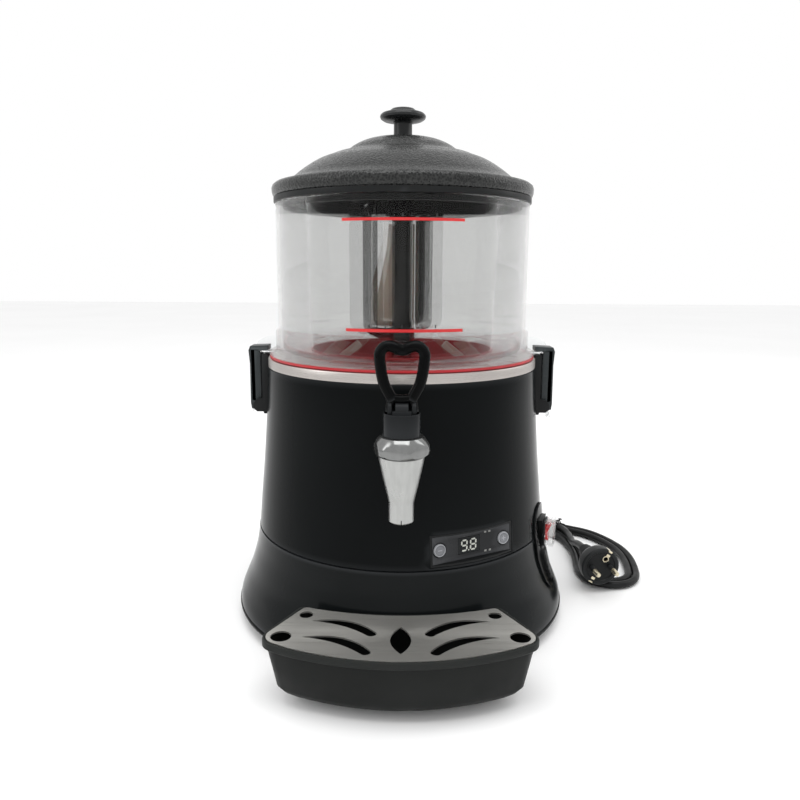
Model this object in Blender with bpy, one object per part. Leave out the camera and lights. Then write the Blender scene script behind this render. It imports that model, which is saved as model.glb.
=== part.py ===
"""Countertop heated dispenser for melted cheese, as separate named parts.

Lengths are in millimetres until they reach a mesh, which is in metres.
The machine stands on Z = 0 and faces -Y. Shapes are drawn round the body's
own vertical axis, and every object is parented to the empty that puts that
axis in its place, so that the origin is the centre of the footprint.
"""

import math

import bmesh
import bpy
from mathutils import Matrix, Vector

MM = 0.001
GAP = 0.3  # between pieces that touch
STEPS = 40  # sides of the large round pieces
FINE_STEPS = 20  # sides of the small round pieces

# Heights above the surface that the machine stands on.
FOOT_H = 9.0
SHELL_TOP_Z = 236.2
RING_TOP_Z = 244.5
BOWL_FLOOR_Z = 247.3
BOWL_TOP_Z = 381.6
LID_RIM_Z = 387.0
LID_TOP_Z = 440.0

# Radii and reaches from the body's axis.
BASE_R = 158.0
RING_R = 125.0
BOWL_R = 115.0
WELL_R = 85.7
TRAY_FRONT = 216.4
FAUCET_REACH = 158.0
AXIS_Y = (TRAY_FRONT - BASE_R) / 2

# Outer outline of the skirt and of the body shell, as (radius, height).
SKIRT_OUTLINE = [
    (137.3, 85.4),
    (138.0, 79.0),
    (139.9, 67.0),
    (142.9, 55.6),
    (146.5, 44.0),
    (151.3, 32.6),
    (155.9, 21.0),
    (157.2, 13.9),
]
SHELL_OUTLINE = [
    (125.4, 236.2),
    (127.4, 196.0),
    (130.3, 158.0),
    (134.0, 119.0),
    (136.9, 86.2),
]
WALL = 2.5

# Control panel: a flat plate let into the round body.
PANEL_AZ = 27.0
PANEL_TILT = 4.5
PANEL_DIST = 129.3
PANEL_Z = 101.6
PANEL_W = 79.4
PANEL_H = 26.6
BUTTON_U = 31.0
BUTTON_R = 5.3
DISPLAY_U = -3.0
DISPLAY_W = 21.5
DISPLAY_H = 14.0

# Power switch on the right side, across the seam.
SWITCH_AZ = 70.0
SWITCH_Z = 87.0
SWITCH_FACE = 141.0

# Faucet heights.
SHANK_Z = 175.0
SHANK_R = 11.0
NOZZLE_Z = 137.5
NUT_Z = 189.3
TOWER_TOP_Z = 215.5
PIVOT_Z = 223.0

# Latches.
LATCH_PIVOT = (136.0, 196.0)
LATCH_HALF = 9.0

# Power cord.
CORD_R = 3.75
GLAND_AZ = 150.0
GLAND_Z = 48.0
GLAND_END = 166.0
# The hank's middle line on the floor, as (x, y, half width) from its rear end to its front end.
HANK_LINE = (
    (150.0, 205.0, 34.5),
    (171.0, 187.0, 27.0),
    (195.0, 165.0, 16.8),
    (216.0, 144.0, 26.0),
    (229.0, 104.0, 33.0),
    (228.0, 72.0, 34.5),
    (222.0, 42.0, 34.5),
)
WAIST = 2
HANK_Z = (1.2, 9.0)
TIE_TOP_Z = 18.0
PLUG_FACE = (203.0, 1.6, 28.8)
PLUG_R = 19.5


# ---------------------------------------------------------------- helpers


def clear_scene():
    for old in list(bpy.data.objects):
        bpy.data.objects.remove(old, do_unlink=True)


def make_material(name, color, roughness, metallic=0.0, alpha=1.0, transmission=0.0):
    material = bpy.data.materials.new(name)
    material.use_nodes = True
    shader = material.node_tree.nodes["Principled BSDF"]
    shader.inputs["Base Color"].default_value = (*color, 1.0)
    shader.inputs["Roughness"].default_value = roughness
    shader.inputs["Metallic"].default_value = metallic
    shader.inputs["Alpha"].default_value = alpha
    shader.inputs["Transmission Weight"].default_value = transmission
    material.diffuse_color = (*color, alpha)
    return material


def make_materials():
    return {
        "body_black": make_material("body_black", (0.012, 0.013, 0.013), 0.18),
        "black_plastic": make_material("black_plastic", (0.02, 0.021, 0.021), 0.45),
        "tray_grey": make_material("tray_grey", (0.035, 0.036, 0.036), 0.4),
        "hammered_lid": make_material("hammered_lid", (0.04, 0.041, 0.041), 0.35, 0.4),
        "steel": make_material("steel", (0.55, 0.53, 0.5), 0.32, 1.0),
        "nozzle_chrome": make_material("nozzle_chrome", (0.75, 0.75, 0.76), 0.2, 1.0),
        "clear_plastic": make_material("clear_plastic", (0.9, 0.92, 0.92), 0.05, 0.0, 0.3, 0.9),
        "red_silicone": make_material("red_silicone", (0.35, 0.03, 0.045), 0.5),
        "pale_plastic": make_material("pale_plastic", (0.72, 0.7, 0.67), 0.45),
        "rubber": make_material("rubber", (0.02, 0.02, 0.02), 0.7),
        "red_plastic": make_material("red_plastic", (0.5, 0.02, 0.02), 0.3),
        "display_glass": make_material("display_glass", (0.03, 0.03, 0.035), 0.1),
        "button_grey": make_material("button_grey", (0.25, 0.26, 0.27), 0.35),
        "board_green": make_material("board_green", (0.03, 0.15, 0.06), 0.5),
        "zinc_steel": make_material("zinc_steel", (0.5, 0.5, 0.5), 0.4, 1.0),
        "brass": make_material("brass", (0.6, 0.45, 0.2), 0.3, 1.0),
        "mica_band": make_material("mica_band", (0.45, 0.4, 0.33), 0.5, 0.6),
    }


def object_from_bmesh(name, bm, material, parent):
    bmesh.ops.recalc_face_normals(bm, faces=bm.faces[:])
    mesh = bpy.data.meshes.new(name)
    bm.to_mesh(mesh)
    bm.free()
    mesh.shade_smooth()
    mesh.set_sharp_from_angle(angle=math.radians(32))
    made = bpy.data.objects.new(name, mesh)
    bpy.context.scene.collection.objects.link(made)
    if material is not None:
        mesh.materials.append(material)
    made.parent = parent
    return made


def bridge_rings(bm, rings, closed=False, caps=True):
    """Skin a list of equal vertex rings; the ends are capped unless closed."""
    count = len(rings)
    last = count if closed else count - 1
    for j in range(last):
        low = rings[j]
        high = rings[(j + 1) % count]
        size = max(len(low), len(high))
        for i in range(size):
            corners = [low[i % len(low)], low[(i + 1) % len(low)]]
            corners += [high[(i + 1) % len(high)], high[i % len(high)]]
            distinct = list(dict.fromkeys(corners))
            if len(distinct) > 2:
                bm.faces.new(distinct)
    if caps and not closed:
        for ring in (rings[0], rings[-1]):
            if len(ring) > 2:
                bm.faces.new(ring)


def lathe(name, outline, material, parent, steps=STEPS, centre=(0.0, 0.0)):
    """Turn a closed (radius, height) outline round a vertical axis."""
    bm = bmesh.new()
    rings = []
    for radius, height in outline:
        if radius < 1e-6:
            rings.append([bm.verts.new((centre[0] * MM, centre[1] * MM, height * MM))])
            continue
        ring = []
        for i in range(steps):
            turn = 2 * math.pi * i / steps
            x = centre[0] + radius * math.cos(turn)
            y = centre[1] + radius * math.sin(turn)
            ring.append(bm.verts.new((x * MM, y * MM, height * MM)))
        rings.append(ring)
    on_axis = outline[0][0] < 1e-6 and outline[-1][0] < 1e-6
    bridge_rings(bm, rings, closed=not on_axis, caps=False)
    return object_from_bmesh(name, bm, material, parent)


def turned_along(name, outline, material, parent, frame, steps=FINE_STEPS):
    """Turn a (radius, distance) outline round the third axis of a frame."""
    made = lathe(name, outline, material, parent, steps)
    made.data.transform(frame)
    return made


def box(name, low, high, material, parent, frame=None):
    bm = bmesh.new()
    bmesh.ops.create_cube(bm, size=1.0)
    size = [(b - a) * MM for a, b in zip(low, high)]
    middle = [(a + b) / 2 * MM for a, b in zip(low, high)]
    for vert in bm.verts:
        vert.co = Vector([c * s + m for c, s, m in zip(vert.co, size, middle)])
    if frame is not None:
        bm.transform(frame)
    return object_from_bmesh(name, bm, material, parent)


def slab(name, outline, low, high, material, parent, plane="XY"):
    """Extrude a flat outline; plane names the axes that its points run along."""
    bm = bmesh.new()
    rings = []
    for level in (low, high):
        ring = []
        for a, b in outline:
            place = {"XY": (a, b, level), "XZ": (a, level, b), "YZ": (level, a, b)}[plane]
            ring.append(bm.verts.new(Vector(place) * MM))
        rings.append(ring)
    bridge_rings(bm, rings)
    return object_from_bmesh(name, bm, material, parent)


def smooth_path(points, spacing):
    """Points on a Catmull-Rom curve through the given ones."""
    pts = [Vector(p) for p in points]
    ends = [pts[0] * 2 - pts[1]] + pts + [pts[-1] * 2 - pts[-2]]
    path = []
    for a, b, c, d in zip(ends, ends[1:], ends[2:], ends[3:]):
        count = max(2, round((c - b).length / spacing))
        for i in range(count):
            t = i / count
            bend = (a * 2 - b * 5 + c * 4 - d) * t * t
            twist = (b * 3 - a - c * 3 + d) * t * t * t
            path.append((b * 2 + (c - a) * t + bend + twist) / 2)
    return path + [pts[-1]]


def rounded_path(points, radius, turns=4):
    """A polyline whose inner corners are rounded to the radius."""
    pts = [Vector(p) for p in points]
    path = [pts[0]]
    for a, b, c in zip(pts, pts[1:], pts[2:]):
        into = (a - b).normalized()
        away = (c - b).normalized()
        half = into.angle(away) / 2
        reach = radius / math.tan(half)
        middle = b + (into + away).normalized() * (radius / math.sin(half))
        start = b + into * reach - middle
        finish = b + away * reach - middle
        sweep = start.angle(finish)
        for i in range(turns + 1):
            t = i / turns
            mix = start * math.sin((1 - t) * sweep) + finish * math.sin(t * sweep)
            path.append(middle + mix / math.sin(sweep))
    return path + [pts[-1]]


def rod(name, path, radius, material, parent, sides=10):
    """A round bar along a path, with flat ends."""
    bm = bmesh.new()
    pts = [Vector(p) for p in path]
    rings = []
    side = None
    for i, place in enumerate(pts):
        ahead = (pts[min(i + 1, len(pts) - 1)] - pts[max(i - 1, 0)]).normalized()
        if side is None:
            side = ahead.orthogonal().normalized()
        side = (side - ahead * side.dot(ahead)).normalized()
        up = ahead.cross(side)
        ring = []
        for k in range(sides):
            turn = 2 * math.pi * k / sides
            spot = place + (side * math.cos(turn) + up * math.sin(turn)) * radius
            ring.append(bm.verts.new(spot * MM))
        rings.append(ring)
    bridge_rings(bm, rings)
    return object_from_bmesh(name, bm, material, parent)


def combine(target, other, operation):
    """Add a Boolean to the target; the other object becomes its cutter."""
    modifier = target.modifiers.new(other.name, "BOOLEAN")
    modifier.operation = operation
    modifier.solver = "EXACT"
    modifier.object = other
    other.hide_render = True
    other.display_type = "WIRE"
    return target


def cut(target, other):
    return combine(target, other, "DIFFERENCE")


def join(target, other):
    return combine(target, other, "UNION")


def keep_inside(target, other):
    return combine(target, other, "INTERSECT")


def facing_frame(azimuth, tilt, centre):
    """Axes of a face on the body: u to its right, w up it, n out of it."""
    turn = math.radians(azimuth)
    lean = math.radians(tilt)
    flat = Vector((math.sin(turn), -math.cos(turn), 0.0))
    n = flat * math.cos(lean) + Vector((0.0, 0.0, math.sin(lean)))
    u = Vector((math.cos(turn), math.sin(turn), 0.0))
    w = n.cross(u)
    frame = Matrix((u, w, n)).transposed().to_4x4()
    frame.translation = Vector(centre) * MM
    return frame


def on_azimuth(azimuth, distance, height):
    turn = math.radians(azimuth)
    return (distance * math.sin(turn), -distance * math.cos(turn), height)


def panel_frame():
    return facing_frame(PANEL_AZ, PANEL_TILT, on_azimuth(PANEL_AZ, PANEL_DIST, PANEL_Z))


def switch_frame():
    return facing_frame(SWITCH_AZ, 0.0, (0.0, 0.0, SWITCH_Z))


def outer_radius(height):
    """Radius of the body's outer surface at a height."""
    line = SHELL_OUTLINE + SKIRT_OUTLINE
    for (r1, z1), (r2, z2) in zip(line, line[1:]):
        if z1 >= height >= z2:
            return r1 + (r2 - r1) * (z1 - height) / (z1 - z2)
    return line[-1][0]


def arc_between(start, finish, rise, count):
    """Points of an arc from start to finish that bulges by rise to its left."""
    a = Vector(start)
    b = Vector(finish)
    chord = b - a
    left = Vector((-chord.y, chord.x)).normalized()
    points = []
    for i in range(count + 1):
        t = i / count
        lift = 4 * rise * t * (1 - t)
        points.append(tuple(a + chord * t + left * lift))
    return points


def round_corner(before, corner, after, radius, turns=4):
    """Points of one rounded corner of a flat outline."""
    path = rounded_path([(*before, 0), (*corner, 0), (*after, 0)], radius, turns)
    return [(p.x, p.y) for p in path[1:-1]]


def circle(x, y, radius, count=20):
    turns = [2 * math.pi * i / count for i in range(count)]
    return [(x + radius * math.cos(t), y + radius * math.sin(t)) for t in turns]


# ---------------------------------------------------------------- base and body


def build_feet(parent, mats):
    outline = [(0, 0), (11, 0), (12, 1), (12, FOOT_H - GAP), (0, FOOT_H - GAP)]
    for i in range(4):
        turn = math.radians(45 + 90 * i)
        centre = (118 * math.cos(turn), 118 * math.sin(turn))
        lathe(f"foot_{i + 1}", outline, mats["rubber"], parent, 16, centre)


def build_base_plate(parent, mats):
    outline = [
        (0, FOOT_H),
        (156, FOOT_H),
        (BASE_R, 10.5),
        (BASE_R, 12.5),
        (157, 13.6),
        (150, 13.6),
        (150, 12),
        (0, 12),
    ]
    return lathe("base_plate", outline, mats["black_plastic"], parent)


def build_tray_bracket(parent, mats):
    """Steel strip under the base whose two tongues carry the drip tray."""
    outline = [
        (-50, -95),
        (-50, -192),
        (-38, -192),
        (-38, -112),
        (38, -112),
        (38, -192),
        (50, -192),
        (50, -95),
    ]
    return slab("tray_bracket", outline, 6.4, FOOT_H - GAP, mats["zinc_steel"], parent)


def build_skirt(parent, mats):
    inner = [(r - WALL, z) for r, z in reversed(SKIRT_OUTLINE[::2] + SKIRT_OUTLINE[-1:])]
    return lathe("base_skirt", SKIRT_OUTLINE + inner, mats["body_black"], parent)


def build_body_shell(parent, mats):
    tongue = [(134.3, 86.2), (134.3, 78.5), (132.2, 78.5)]
    inner = [(r - WALL, z) for r, z in reversed(SHELL_OUTLINE[1:4])]
    flange = [(123.0, 233.7), (112.0, 233.7), (112.0, SHELL_TOP_Z)]
    outline = SHELL_OUTLINE + tongue + [(132.2, 92.0)] + inner + flange
    return lathe("body_shell", outline, mats["body_black"], parent)


def build_tank(parent, mats):
    """Steel well with the ring that shows round the top of the body."""
    outline = [
        (RING_R, SHELL_TOP_Z + GAP),
        (RING_R, 243.7),
        (124.2, RING_TOP_Z),
        (WELL_R, RING_TOP_Z),
        (WELL_R, 160.0),
        (80.0, 154.5),
        (7.5, 154.5),
        (7.5, 252.0),
        (6.0, 252.0),
        (6.0, 153.0),
        (80.6, 153.0),
        (87.2, 159.4),
        (87.2, 243.0),
        (123.5, 243.0),
        (123.5, SHELL_TOP_Z + GAP),
    ]
    tank = lathe("tank", outline, mats["steel"], parent)
    hole = shank_cutter("tank_hole", parent, -100, -75)
    return cut(tank, hole)


def shank_cutter(name, parent, low_y, high_y, radius=SHANK_R + GAP):
    frame = facing_frame(0, 0, (0, 0, SHANK_Z))
    outline = [(0, -high_y), (radius, -high_y), (radius, -low_y), (0, -low_y)]
    return turned_along(name, outline, None, parent, frame)


def build_heater(parent, mats):
    outline = [(87.6, 202), (90.2, 202), (90.2, 230), (87.6, 230)]
    return lathe("band_heater", outline, mats["mica_band"], parent)


def build_thermostat(parent, mats):
    outline = [(0, 141), (9, 141), (9, 146), (12, 146), (12, 152.7), (0, 152.7)]
    return lathe("thermostat", outline, mats["zinc_steel"], parent, 16, (38, 38))


def build_motor(parent, mats):
    outline = [
        (0, 55),
        (30, 55),
        (32, 57),
        (32, 98),
        (25, 98),
        (25, 118),
        (4.4, 118),
        (4.4, 100),
        (0, 100),
    ]
    return lathe("gear_motor", outline, mats["zinc_steel"], parent, FINE_STEPS)


def build_motor_bracket(parent, mats):
    bracket = box("motor_bracket", (-50, -40, 118.3), (50, 40, 120.8), mats["steel"], parent)
    for i, (sx, sy) in enumerate([(-1, -1), (1, -1), (1, 1), (-1, 1)]):
        low = (sx * 46 - 4, sy * 36 - 4, 12.3)
        high = (sx * 46 + 4, sy * 36 + 4, 119.5)
        join(bracket, box(f"bracket_leg_{i}", low, high, None, parent))
    hole = lathe("bracket_hole", [(0, 110), (7, 110), (7, 130), (0, 130)], None, parent, 16)
    return cut(bracket, hole)


def cut_shell_openings(shell, skirt, parent):
    """Openings for the faucet shank, the panel, the switch and the cord."""
    cut(shell, shank_cutter("shell_hole", parent, -140, -115))
    half_w = PANEL_W / 2 + GAP
    half_h = PANEL_H / 2 + GAP
    window = box(
        "panel_window", (-half_w, -half_h, -12), (half_w, half_h, 25), None, parent, panel_frame()
    )
    cut(shell, window)
    seat = box("switch_window", (-10.9, -13.6, 120), (10.9, 13.6, 160), None, parent, switch_frame())
    cut(shell, seat)
    cut(skirt, seat)
    frame = facing_frame(GLAND_AZ, 0, (0, 0, GLAND_Z))
    outline = [(0, 120), (8.4, 120), (8.4, 180), (0, 180)]
    cut(skirt, turned_along("gland_hole", outline, None, parent, frame, 16))


# ---------------------------------------------------------------- panel and switch


def build_panel(parent, mats):
    """Bezel whose walls reach out to the body's surface round a flat floor."""
    frame = panel_frame()
    half_w = PANEL_W / 2
    half_h = PANEL_H / 2
    panel = box(
        "control_panel", (-half_w, -half_h, -2.2), (half_w, half_h, 9), mats["black_plastic"], parent, frame
    )
    limit = [(r - 0.1, z) for r, z in SHELL_OUTLINE]
    limit = [(0, limit[0][1])] + limit + [(0, limit[-1][1])]
    keep_inside(panel, lathe("panel_limit", limit, None, parent))
    inset = 1.6
    pocket = box(
        "panel_pocket", (inset - half_w, inset - half_h, 0), (half_w - inset, half_h - inset, 12), None, parent, frame
    )
    cut(panel, pocket)
    half_d = DISPLAY_W / 2
    window = box(
        "display_hole",
        (DISPLAY_U - half_d, -DISPLAY_H / 2, -6),
        (DISPLAY_U + half_d, DISPLAY_H / 2, 6),
        None,
        parent,
        frame,
    )
    cut(panel, window)
    for side in (-1, 1):
        shift = frame @ Matrix.Translation((side * BUTTON_U * MM, 0, 0))
        outline = [(0, -6), (BUTTON_R + GAP, -6), (BUTTON_R + GAP, 6), (0, 6)]
        cut(panel, turned_along(f"button_hole_{side}", outline, None, parent, shift, 20))
    return panel


def build_display(parent, mats):
    half_d = DISPLAY_W / 2 - GAP
    half_h = DISPLAY_H / 2 - GAP
    low = (DISPLAY_U - half_d, -half_h, -3.5)
    high = (DISPLAY_U + half_d, half_h, 0.3)
    return box("display_window", low, high, mats["display_glass"], parent, panel_frame())


def build_buttons(parent, mats):
    outline = [
        (0, -4.0),
        (BUTTON_R, -4.0),
        (BUTTON_R, 0.9),
        (BUTTON_R - 0.8, 1.5),
        (0, 1.7),
    ]
    for side, name in ((-1, "button_left"), (1, "button_right")):
        shift = panel_frame() @ Matrix.Translation((side * BUTTON_U * MM, 0, 0))
        turned_along(name, outline, mats["button_grey"], parent, shift, 20)


def build_circuit_board(parent, mats):
    return box(
        "circuit_board", (-36, -12, -8.2), (36, 12, -6.6), mats["board_green"], parent, panel_frame()
    )


def build_switch_pod(parent, mats):
    """Moulding that follows the body's side and carries the switch."""
    levels = [112.5, 111, 106, 99, 86.2, 85.4, 67, 55.6, 44, 36]
    half_angles = [2.0, 4.5, 7.2, 8.6, 9.0, 9.0, 8.4, 7.4, 5.6, 3.0]
    across = 8
    bm = bmesh.new()
    layers = []
    for offset in (0.35, 1.9):
        grid = []
        for height, half in zip(levels, half_angles):
            row = []
            for i in range(across + 1):
                azimuth = SWITCH_AZ + half * (2 * i / across - 1)
                place = on_azimuth(azimuth, outer_radius(height) + offset, height)
                row.append(bm.verts.new(Vector(place) * MM))
            grid.append(row)
        layers.append(grid)
    for grid in layers:
        for top, low in zip(grid, grid[1:]):
            for i in range(across):
                bm.faces.new([top[i], top[i + 1], low[i + 1], low[i]])
    edges = []
    for grid in layers:
        left = [row[0] for row in reversed(grid[1:-1])]
        right = [row[-1] for row in grid[1:-1]]
        edges.append(grid[0] + right + grid[-1][::-1] + left)
    bridge_rings(bm, edges, caps=False)
    pod = object_from_bmesh("switch_pod", bm, mats["black_plastic"], parent)
    frame = switch_frame()
    join(pod, box("pod_boss", (-10.5, -13.2, 131), (10.5, 13.2, SWITCH_FACE), None, parent, frame))
    return cut(pod, box("pod_window", (-6.7, -9.7, 125), (6.7, 9.7, 150), None, parent, frame))


def build_switch(parent, mats):
    """Housing with its bezel, the rocker in it and the clear cover over it."""
    frame = switch_frame()
    low = SWITCH_FACE + GAP
    bezel = low + 1.7
    black = mats["black_plastic"]
    housing = box("switch_housing", (-8.5, -11.5, low), (8.5, 11.5, bezel), black, parent, frame)
    body = box("switch_body", (-6.4, -9.4, low - 22), (6.4, 9.4, low + 0.5), None, parent, frame)
    join(housing, body)
    slot = box("rocker_slot", (-5.2, -8.6, low - 12), (5.2, 8.6, low + 10), None, parent, frame)
    cut(housing, slot)
    section = [(-5, -3), (5, -3), (7.6, 7), (0, 3.6), (-7.6, 5)]
    bm = bmesh.new()
    rings = []
    for u in (-4.9, 4.9):
        ring = [bm.verts.new(Vector((u, w, SWITCH_FACE + n)) * MM) for w, n in section]
        rings.append(ring)
    bridge_rings(bm, rings)
    bm.transform(frame)
    object_from_bmesh("rocker", bm, mats["red_plastic"], parent)
    rim = bezel + GAP
    top = SWITCH_FACE + 10
    clear = mats["clear_plastic"]
    cover = box("switch_cover", (-8.4, -11.4, rim), (8.4, 11.4, top), clear, parent, frame)
    hollow = box("cover_hollow", (-7.4, -10.4, rim - 5), (7.4, 10.4, top - 1), None, parent, frame)
    cut(cover, hollow)


# ---------------------------------------------------------------- faucet


def build_shank(parent, mats):
    frame = facing_frame(0, 0, (0, 0, SHANK_Z))
    outline = [
        (7.5, 81.7),
        (14, 81.7),
        (14, 84.2),
        (SHANK_R, 84.2),
        (SHANK_R, 140.7),
        (7.5, 140.7),
    ]
    turned_along("faucet_shank", outline, mats["steel"], parent, frame)
    hexagon = circle(0, SHANK_Z, 18, 6)
    nut = slab("shank_nut", hexagon, -124.3, -116, mats["brass"], parent, "XZ")
    cut(nut, shank_cutter("nut_bore", parent, -130, -110))


def build_faucet_body(parent, mats):
    """Tapered nozzle with the boss that takes the shank."""
    outline = [
        (0, NOZZLE_Z),
        (9.5, NOZZLE_Z),
        (9.5, 152.6),
        (17.0, 186.0),
        (17.0, 189.0),
        (15.0, 189.0),
        (15.0, 196.0),
        (0, 196.0),
    ]
    centre = (0, -FAUCET_REACH)
    body = lathe("faucet_body", outline, mats["nozzle_chrome"], parent, 28, centre)
    frame = facing_frame(0, 0, (0, 0, SHANK_Z))
    boss_outline = [(0, 131.5), (13.8, 131.5), (13.8, 152), (0, 152)]
    boss = turned_along("faucet_boss", boss_outline, None, parent, frame)
    join(body, boss)
    socket_r = SHANK_R + GAP
    socket = [(0, 120), (socket_r, 120), (socket_r, 141), (6.5, 141), (6.5, 157), (0, 157)]
    cut(body, turned_along("boss_socket", socket, None, parent, frame, 18))
    passage = [(0, 130), (7.0, 130), (7.0, 161.7), (9.2, 161.7), (12.0, 184), (12.0, 200), (0, 200)]
    chamber = lathe("chamber", passage, None, parent, 20, centre)
    return cut(body, chamber)


def build_bonnet_nut(parent, mats):
    """Six sided chrome nut with rounded flats."""
    outline = [
        (15.3, NUT_Z),
        (18.6, NUT_Z),
        (21.2, NUT_Z + 4),
        (21.2, NUT_Z + 10.5),
        (17.0, NUT_Z + 14.7),
        (13.3, NUT_Z + 14.7),
        (13.3, 199.5),
        (15.3, 199.5),
    ]
    nut = lathe("bonnet_nut", outline, mats["nozzle_chrome"], parent, 24, (0, -FAUCET_REACH))
    flats = circle(0, -FAUCET_REACH, 21.8, 6)
    prism = slab("nut_flats", flats, NUT_Z - 2, NUT_Z + 20, None, parent)
    return keep_inside(nut, prism)


def build_tower(parent, mats):
    centre = (0, -FAUCET_REACH)
    outline = [
        (0, 213.0),
        (8.0, 213.0),
        (8.0, 196.3),
        (15.0, 196.3),
        (15.0, 199.2),
        (13.0, 199.2),
        (13.0, 213.5),
        (11.0, TOWER_TOP_Z),
        (0, TOWER_TOP_Z),
    ]
    tower = lathe("faucet_tower", outline, mats["black_plastic"], parent, FINE_STEPS, centre)
    low = (-7, -FAUCET_REACH - 6, 214.2)
    high = (7, -FAUCET_REACH + 6, PIVOT_Z)
    join(tower, box("tower_neck", low, high, None, parent))
    join(tower, cross_pin("tower_knuckle", -7, 7, 6.0, parent))
    for side in (-1, 1):
        ends = sorted((side * 4.7, side * 9))
        cut(tower, cross_pin(f"pin_hole_{side}", ends[0], ends[1], 2.3, parent))
    return tower


def cross_pin(name, x1, x2, radius, parent, material=None, at=None):
    """A round bar along X, at the handle's pivot unless told otherwise."""
    y, z = at or (-FAUCET_REACH, PIVOT_Z)
    return rod(name, [(x1, y, z), (x2, y, z)], radius, material, parent, 16)


def build_handle(parent, mats):
    """Heart shaped loop on two cheeks that turn on the tower's knuckle."""
    y = -FAUCET_REACH
    half = [
        (5.9, 231.5),
        (7.2, 236.5),
        (11.2, 248),
        (15.6, 259.5),
        (16.4, 264.2),
        (14.2, 268.6),
        (9.6, 270.4),
        (4.6, 268.9),
    ]
    left = [(-x, y, z) for x, z in half]
    right = [(x, y, z) for x, z in reversed(half)]
    path = smooth_path(left + [(0, y, 266.6)] + right, 6.0)
    handle = rod("faucet_handle", path, 4.25, mats["black_plastic"], parent, 10)
    join(handle, box("handle_bridge", (-10.4, y - 4.4, 229.7), (10.4, y + 4.4, 234), None, parent))
    for side in (-1, 1):
        ends = sorted((side * 7.4, side * 10.4))
        join(handle, cross_pin(f"cheek_{side}", ends[0], ends[1], 6.9, parent))
        low = (ends[0], y - 4.4, PIVOT_Z)
        high = (ends[1], y + 4.4, 230.5)
        join(handle, box(f"cheek_web_{side}", low, high, None, parent))
        ends = sorted((side * 5.0, side * 8.0))
        join(handle, cross_pin(f"stub_{side}", ends[0], ends[1], 2.0, parent))
    return handle


def build_valve(parent, mats):
    """Stem with its seat cup, and the spring that closes it."""
    centre = (0, -FAUCET_REACH)
    outline = [
        (0, 162.1),
        (8.4, 162.1),
        (9.0, 166),
        (9.0, 170),
        (2.5, 172),
        (2.5, 198),
        (6.0, 198),
        (6.0, 200),
        (2.5, 200),
        (2.5, 208),
        (0, 208),
    ]
    lathe("valve_stem", outline, mats["red_silicone"], parent, 16, centre)
    turns = 4.5
    low = 200.3 + 0.7
    high = 212.7 - 0.7
    count = int(turns * 10)
    path = []
    for i in range(count + 1):
        t = i / count
        turn = 2 * math.pi * turns * t
        x = 5.2 * math.cos(turn)
        path.append((x, centre[1] + 5.2 * math.sin(turn), low + (high - low) * t))
    rod("valve_spring", path, 0.6, mats["steel"], parent, 5)


# ---------------------------------------------------------------- bowl and lid


def build_seal(parent, mats):
    outline = [
        (83.2, 236.0),
        (85.4, 236.0),
        (85.4, 244.8),
        (123.2, 244.8),
        (123.2, 247.0),
        (85.4, 247.0),
        (85.4, 252.0),
        (83.2, 252.0),
    ]
    return lathe("bowl_seal", outline, mats["red_silicone"], parent)


def build_bowl(parent, mats):
    outline = [
        (85.9, BOWL_FLOOR_Z),
        (123.5, BOWL_FLOOR_Z),
        (123.5, 250.6),
        (117.6, 252.5),
        (117.6, 268.5),
        (BOWL_R, 271.5),
        (BOWL_R, BOWL_TOP_Z),
        (112.0, BOWL_TOP_Z),
        (112.0, 257.0),
        (109.0, 251.0),
        (85.9, 251.0),
    ]
    bowl = lathe("bowl", outline, mats["clear_plastic"], parent)
    rib = [
        (113.5, 249.0),
        (138.0, 249.0),
        (140.0, 252.5),
        (137.5, 256.5),
        (131.5, 259.6),
        (124.0, 261.0),
        (113.5, 261.0),
    ]
    for side, name in ((-1, "left"), (1, "right")):
        ends = sorted((side * 113.5, side * 133.0))
        low = (ends[0], -8.6, BOWL_FLOOR_Z)
        high = (ends[1], 12.6, 248.6)
        join(bowl, box(f"catch_{name}", low, high, None, parent))
        mirrored = [(side * x, z) for x, z in rib]
        mirrored = mirrored if side > 0 else mirrored[::-1]
        join(bowl, slab(f"catch_rib_{name}", mirrored, 9.6, 12.5, None, parent, "XZ"))
        web = [(side * 113.5, 248.0), (side * 132.0, 248.0), (side * 132.0, 251.0), (side * 113.5, 251.0)]
        join(bowl, slab(f"catch_web_{name}", web, 9.7, 12.4, None, parent, "XZ"))
    core = [(0, 240), (112.0, 257.0), (112.0, 300), (0, 300)]
    return cut(bowl, lathe("bowl_core", core, None, parent))


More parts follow.
